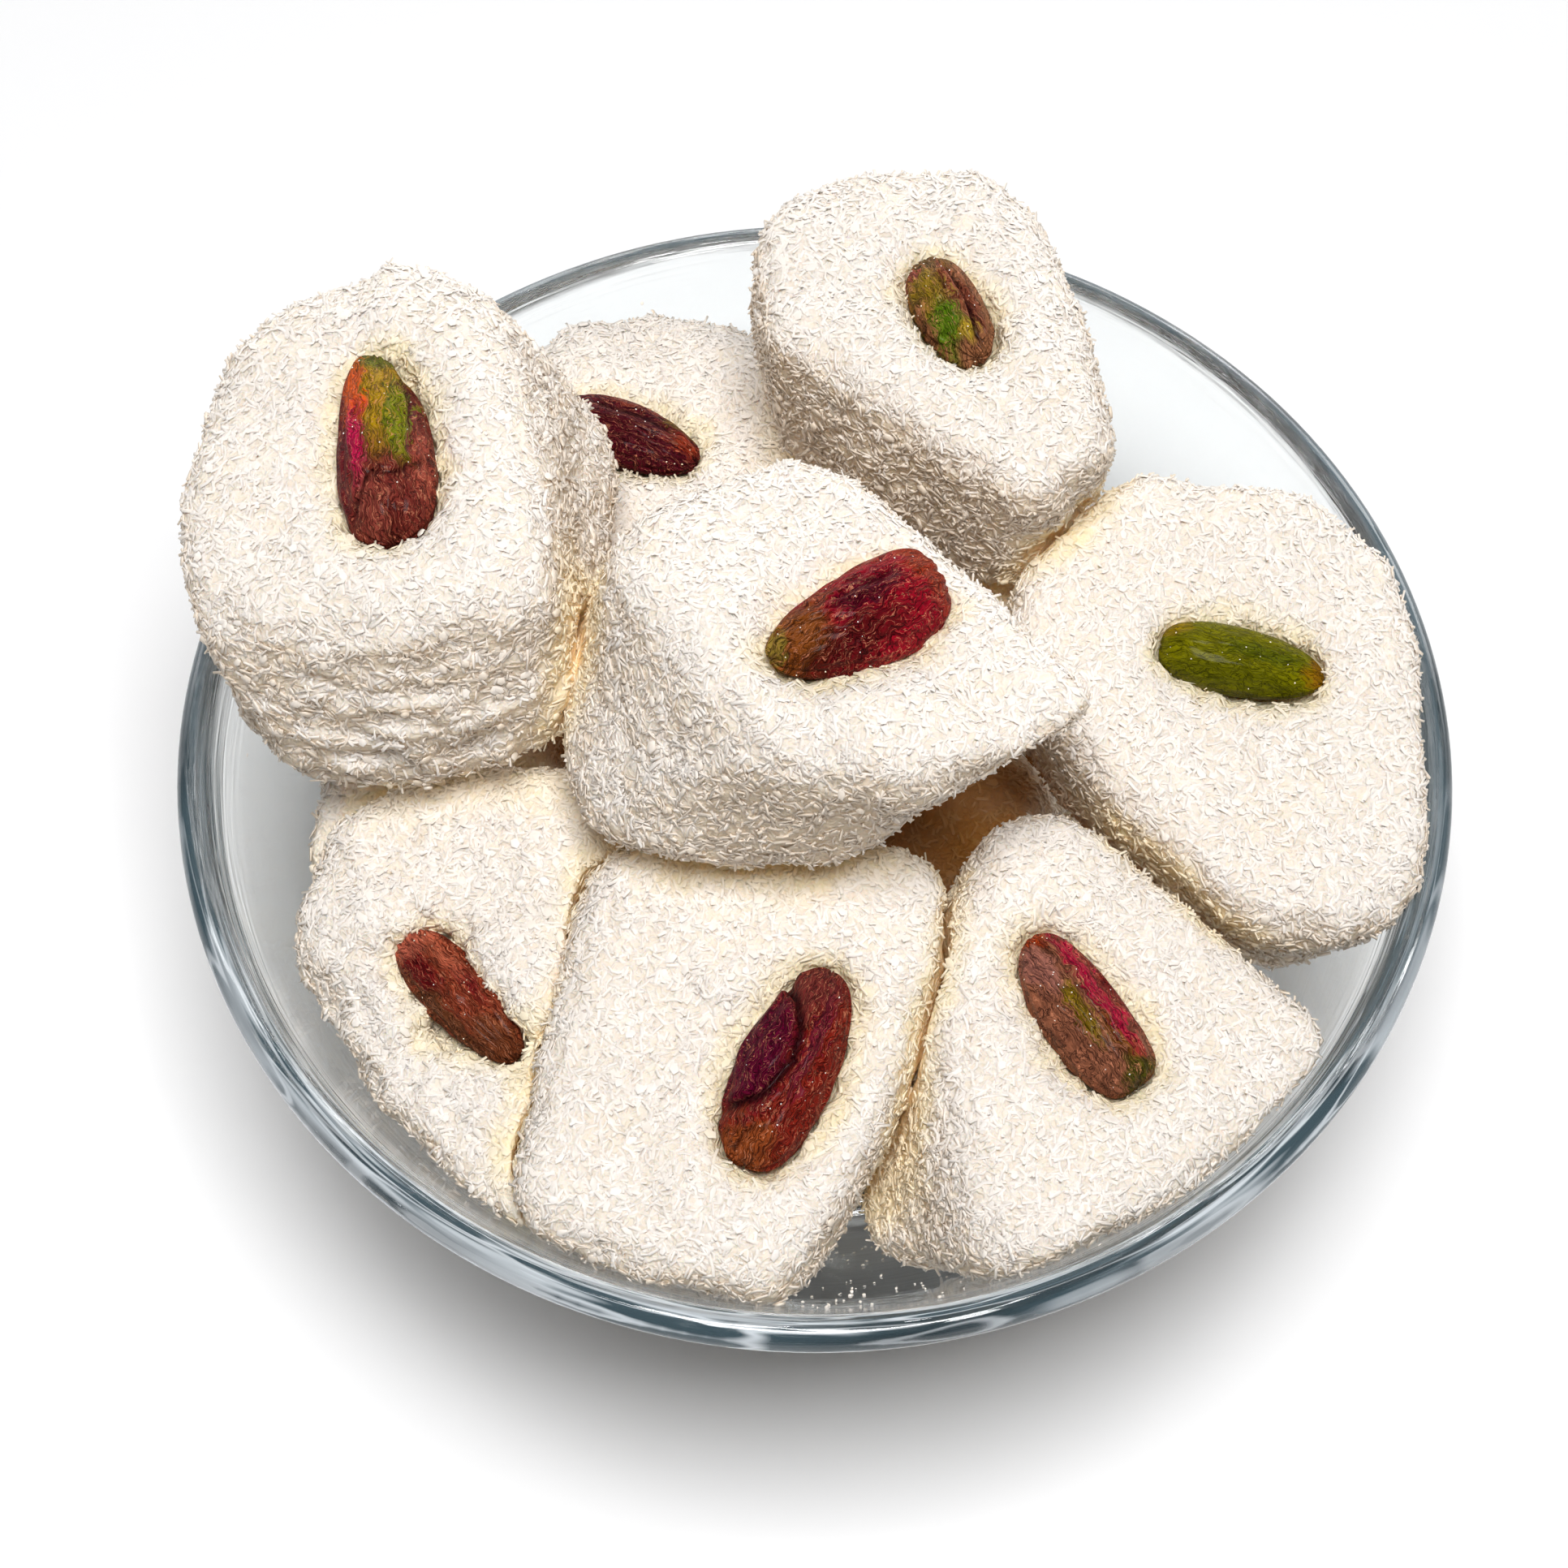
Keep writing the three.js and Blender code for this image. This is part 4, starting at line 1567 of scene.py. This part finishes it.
class Coating:
    """All the loose coconut: on the sweets, on the kernels and in the bowl.

    Spare and spare_deep share out a form's places over the sweets, with some to spare on each and
    fewer on those deep in the heap. Thickness is a share of a piece's width, sinking of its
    thickness and bending of its form's bend, each between two limits. Crumbs lie in a band of the
    bowl's wall, whose slope is given as a step inwards and a step up.
    """

    spare = 5
    spare_deep = 16
    coarse_share = 3
    hold = 0.75
    least_held = 0.12
    room = 1.0 * MM
    thickness = (0.5, 0.95)
    sinking = (0.1, 0.7)
    bending = (0.3, 1.4)
    spike_lift = (20, 60)
    straight = 1e-3
    nut_spare = 3
    nut_top = 0.35
    glass_band = (0.25, 0.96)
    glass_slope = (-0.75, 0.66)
    off_glass = 0.05 * MM
    cluster_share = 0.5
    front_cluster = (math.radians(-82), 0.22)

    def __init__(self, heap: Heap, bowl: GlassBowl) -> None:
        """Keeps the surfaces.

        Args:
            heap: the sweets and kernels.
            bowl: the bowl that they lie in.
        """
        self.rng = np.random.default_rng(SEED + 1)
        self.heap = heap
        self.bowl = bowl

    def on_sweets(self, count: int, coarse: bool) -> Ground:
        """Picks places on the sweets, thinner where they hang over or lie deep in the heap.

        Args:
            count: how many places.
            coarse: whether the places gather on the coarser sweets.

        Returns:
            The places.
        """
        found = []
        for piece in self.heap.sweets:
            deep = "under" in piece.name or "floor" in piece.name
            many = count // (self.spare_deep if deep else self.spare)
            if coarse and piece.name in COARSE:
                many *= self.coarse_share
            ground = Ground.of_piece(piece, many, self.rng)
            facing = np.clip(self.hold + ground.normals[:, 2], self.least_held, 1.0)
            keep = self.rng.random(len(facing)) < facing
            found.append(self.heap.open(ground.only(keep), self.room))
        ground = Ground.joined(found)
        return ground.only(self.rng.permutation(len(ground.points))[:count])

    def on_kernels(self, count: int) -> Ground:
        """Picks places on top of the kernels.

        Args:
            count: how many places.

        Returns:
            The places.
        """
        nuts = self.heap.nuts
        many = count // len(nuts) * self.nut_spare
        ground = Ground.joined(Ground.of_piece(piece, many, self.rng) for piece in nuts)
        top = ground.only(ground.normals[:, 2] > self.nut_top)
        return top.only(self.rng.permutation(len(top.points))[:count])

    def on_glass(self, count: int) -> Ground:
        """Picks places on the inside of the bowl, most of them low down in front.

        Args:
            count: how many places.

        Returns:
            The places.
        """
        t = self.rng.uniform(*self.glass_band, count)
        angle = self.rng.uniform(0, math.tau, count)
        cluster = self.rng.random(count) < self.cluster_share
        angle = np.where(cluster, self.rng.normal(*self.front_cluster, count), angle)
        section = [self.bowl.wall_point(value, self.bowl.wall + self.off_glass) for value in t]
        radius = np.array([point.x for point in section])
        height = np.array([point.y for point in section])
        points = np.stack([radius * np.cos(angle), radius * np.sin(angle), height], axis=1)
        inwards, upwards = self.glass_slope
        slopes = [inwards * np.cos(angle), inwards * np.sin(angle), np.full(count, upwards)]
        return Ground(points, np.stack(slopes, axis=1))

    def strew(self, shape: CutShape, ground: Ground, material: Material) -> Object:
        """Lays copies of one form on the ground as a single mesh.

        Args:
            shape: the form.
            ground: where the copies lie.
            material: their finish.

        Returns:
            The piece.
        """
        rng = self.rng
        points, faces = shape.template()
        count = len(ground.points)
        length = rng.uniform(*shape.length, count) * MM
        width = rng.uniform(*shape.width, count) * MM
        level = np.clip(ground.normals[:, 2], 0, 1) ** 2
        thick = width * rng.uniform(*self.thickness, count) * (1 - LEVEL_FLATNESS * level)
        sunk = rng.uniform(*self.sinking, count) * thick
        bend = shape.bend * rng.uniform(*self.bending, count) * rng.choice((-1, 1), count)
        lift = np.abs(rng.normal(0, shape.lift, count))
        spiky = rng.random(count) < shape.spikes
        spikes = rng.uniform(*self.spike_lift, count)
        along, across, up = self._lay(ground.normals, np.where(spiky, spikes, lift))
        x = points[None, :, 0] * length[:, None]
        y = points[None, :, 1] * width[:, None]
        z = points[None, :, 2] * thick[:, None]
        turn = points[None, :, 0] * bend[:, None]
        curved = np.abs(bend) > self.straight
        radius = (length / np.where(curved, bend, 1.0))[:, None]
        curved = curved[:, None]
        bent_x = np.where(curved, (radius - y) * np.sin(turn), x)
        bent_y = np.where(curved, radius - (radius - y) * np.cos(turn), y)
        place = (
            (ground.points + ground.normals * sunk[:, None])[:, None, :]
            + bent_x[..., None] * along[:, None, :]
            + bent_y[..., None] * across[:, None, :]
            + z[..., None] * up[:, None, :]
        )
        rows = faces[None] + (np.arange(count) * len(points))[:, None, None]
        mesh = bpy.data.meshes.new(shape.cut.value)
        mesh.from_pydata(place.reshape(-1, 3), [], rows.reshape(-1, 3))
        self._soften(mesh, np.repeat(ground.normals, len(points), axis=0))
        store(mesh, "tint", np.repeat(rng.random(count), len(points)))
        self.heap.mark(mesh, ground, len(points))
        piece = add_piece("coconut_" + shape.cut.value, mesh, material)
        return piece

    @staticmethod
    def _soften(mesh: Mesh, below: np.ndarray) -> None:
        """Leans the shading of a mesh towards the surface that it lies on, most where that is level.

        Args:
            mesh: the mesh.
            below: the direction of that surface at each of its points.
        """
        mesh.shade_smooth()
        level = np.clip(below[:, 2:], 0, 1) ** 2
        softness = STEEP_SOFTNESS + (LEVEL_SOFTNESS - STEEP_SOFTNESS) * level
        blend = rows_of(mesh, "normal") * (1 - softness) + below * softness
        blend /= np.linalg.norm(blend, axis=1, keepdims=True)
        mesh.normals_split_custom_set_from_vertices(blend.tolist())

    def _lay(self, normals: np.ndarray, lift: np.ndarray) -> tuple[np.ndarray, np.ndarray, np.ndarray]:
        """Finds directions for pieces that lie on a surface, each turned at random.

        Args:
            normals: the surface's directions.
            lift: degrees that each piece's end stands up.

        Returns:
            Each piece's own directions along, across and up.
        """
        normals = normals / np.linalg.norm(normals, axis=1, keepdims=True)
        side, ahead = perpendiculars(normals, self.rng)
        angle = np.radians(lift)[:, None]
        along = ahead * np.cos(angle) + normals * np.sin(angle)
        return along, side, np.cross(along, side)

    def _ground(self, shape: CutShape) -> Ground:
        """Picks the places where copies of a form lie.

        Args:
            shape: the form.

        Returns:
            The places.
        """
        if shape.cut is Cut.DUST:
            return self.on_kernels(shape.count)
        if shape.cut is Cut.CRUMB:
            return self.on_glass(shape.count)
        return self.on_sweets(shape.count, shape.cut is Cut.FLAKE)

    def build(self) -> list[Object]:
        """Strews every form and returns the pieces."""
        material = ShredFinish().material()
        return [self.strew(shape, self._ground(shape), material) for shape in CUTS]


# ---------------------------------------------------------------- stage
@dataclass
class Studio:
    """The floor, the light and the camera."""

    floor_size: float = 4.0
    rim_height: float = 54 * MM
    distance: float = 420 * MM
    elevation: float = 61.86
    lens: float = 102.61
    sensor: float = 36
    aim: Pair = (-2.885 * MM, -3.755 * MM)
    lamp_place: Triple = (0.025, -0.21, 1.0)
    lamp_size: Pair = (0.38, 0.38)
    lamp_power: float = 10.25
    back_light: float = 4.2
    side_light: float = 0.6
    dim_light: float = 0.08
    horizon_light: float = 0.06
    behind_edges: Pair = (0.35, 0.75)
    right_edges: Pair = (0.5, 0.8)
    low_edges: Pair = (0.4, 0.2)
    horizon_edges: Pair = (0.5, 0.1)
    sky_tint: Colour = (0.985, 0.99, 1.0)
    glass_bounces: int = 32
    soft_bounces: int = 10

    def floor(self) -> None:
        """Lays the pale floor."""
        bm = bmesh.new()
        bmesh.ops.create_grid(bm, x_segments=1, y_segments=1, size=self.floor_size)
        piece = add_piece("floor", finished_mesh(bm), FloorFinish().material())

    def camera(self) -> None:
        """Sets the camera over the heap."""
        angle = math.radians(self.elevation)
        forward = Vector((0, math.cos(angle), -math.sin(angle)))
        up = Vector((0, math.sin(angle), math.cos(angle)))
        data = bpy.data.cameras.new("camera")
        data.lens = self.lens
        data.sensor_width = self.sensor
        data.clip_start = 0.01
        camera = bpy.data.objects.new("camera", data)
        aim = Vector((self.aim[0], 0, 0)) + up * self.aim[1]
        camera.location = Vector((0, 0, self.rim_height)) - forward * self.distance + aim
        camera.rotation_euler = (math.radians(90 - self.elevation), 0, 0)
        bpy.context.scene.collection.objects.link(camera)
        bpy.context.scene.camera = camera

    def lamp(self) -> None:
        """Hangs a soft square lamp over the bowl, a little towards the front."""
        data = bpy.data.lights.new("overhead", "AREA")
        data.shape = "RECTANGLE"
        data.size, data.size_y = self.lamp_size
        data.energy = self.lamp_power
        lamp = bpy.data.objects.new("overhead", data)
        lamp.location = self.lamp_place
        lamp.rotation_euler = (-lamp.location).to_track_quat("-Z", "Y").to_euler()
        bpy.context.scene.collection.objects.link(lamp)

    def sky(self) -> None:
        """Surrounds everything with dim light, brighter behind and low on the right."""
        world = bpy.data.worlds.new("studio")
        bpy.context.scene.world = world
        graph = Graph(world)
        ahead = graph.node("ShaderNodeTexCoord").outputs["Generated"]
        x, y, z = graph.parts(ahead)
        low = z.ease(*self.low_edges)
        behind = y.ease(*self.behind_edges) * low
        right = x.ease(*self.right_edges) * low
        around = z.ease(*self.horizon_edges) * self.horizon_light
        strength = behind * self.back_light + right * self.side_light + around + self.dim_light
        light = graph.node("ShaderNodeBackground", None, {"Color": self.sky_tint, "Strength": strength})
        graph.node("ShaderNodeOutputWorld", None, {"Surface": light.outputs[0]})

    def build(self) -> None:
        """Sets the whole stage."""
        self.floor()
        self.camera()
        self.sky()
        self.lamp()
        scene = bpy.context.scene
        scene.view_settings.view_transform = "Standard"
        scene.cycles.use_denoising = True
        scene.cycles.max_bounces = self.glass_bounces
        scene.cycles.transmission_bounces = self.glass_bounces
        scene.cycles.glossy_bounces = self.glass_bounces
        scene.cycles.diffuse_bounces = self.soft_bounces


# ---------------------------------------------------------------- the whole
def main() -> None:
    """Builds every piece around the frame."""
    logging.basicConfig(level=logging.INFO, format="%(name)s %(message)s")
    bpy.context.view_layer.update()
    bowl = GlassBowl()
    glass = bowl.build()
    dough = DoughFinish().material()
    sweets = [sweet.build(dough) for sweet in SWEETS]
    nuts = [kernel.build() for kernel in KERNELS]
    coating = Coating(Heap(sweets, nuts), bowl).build()
    for piece in [glass, *sweets, *nuts, *coating]:
        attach(piece, BODY)
        log.info("%s: %d faces", piece.name, len(piece.data.polygons))
    Studio().build()


if __name__ == "__main__":
    main()
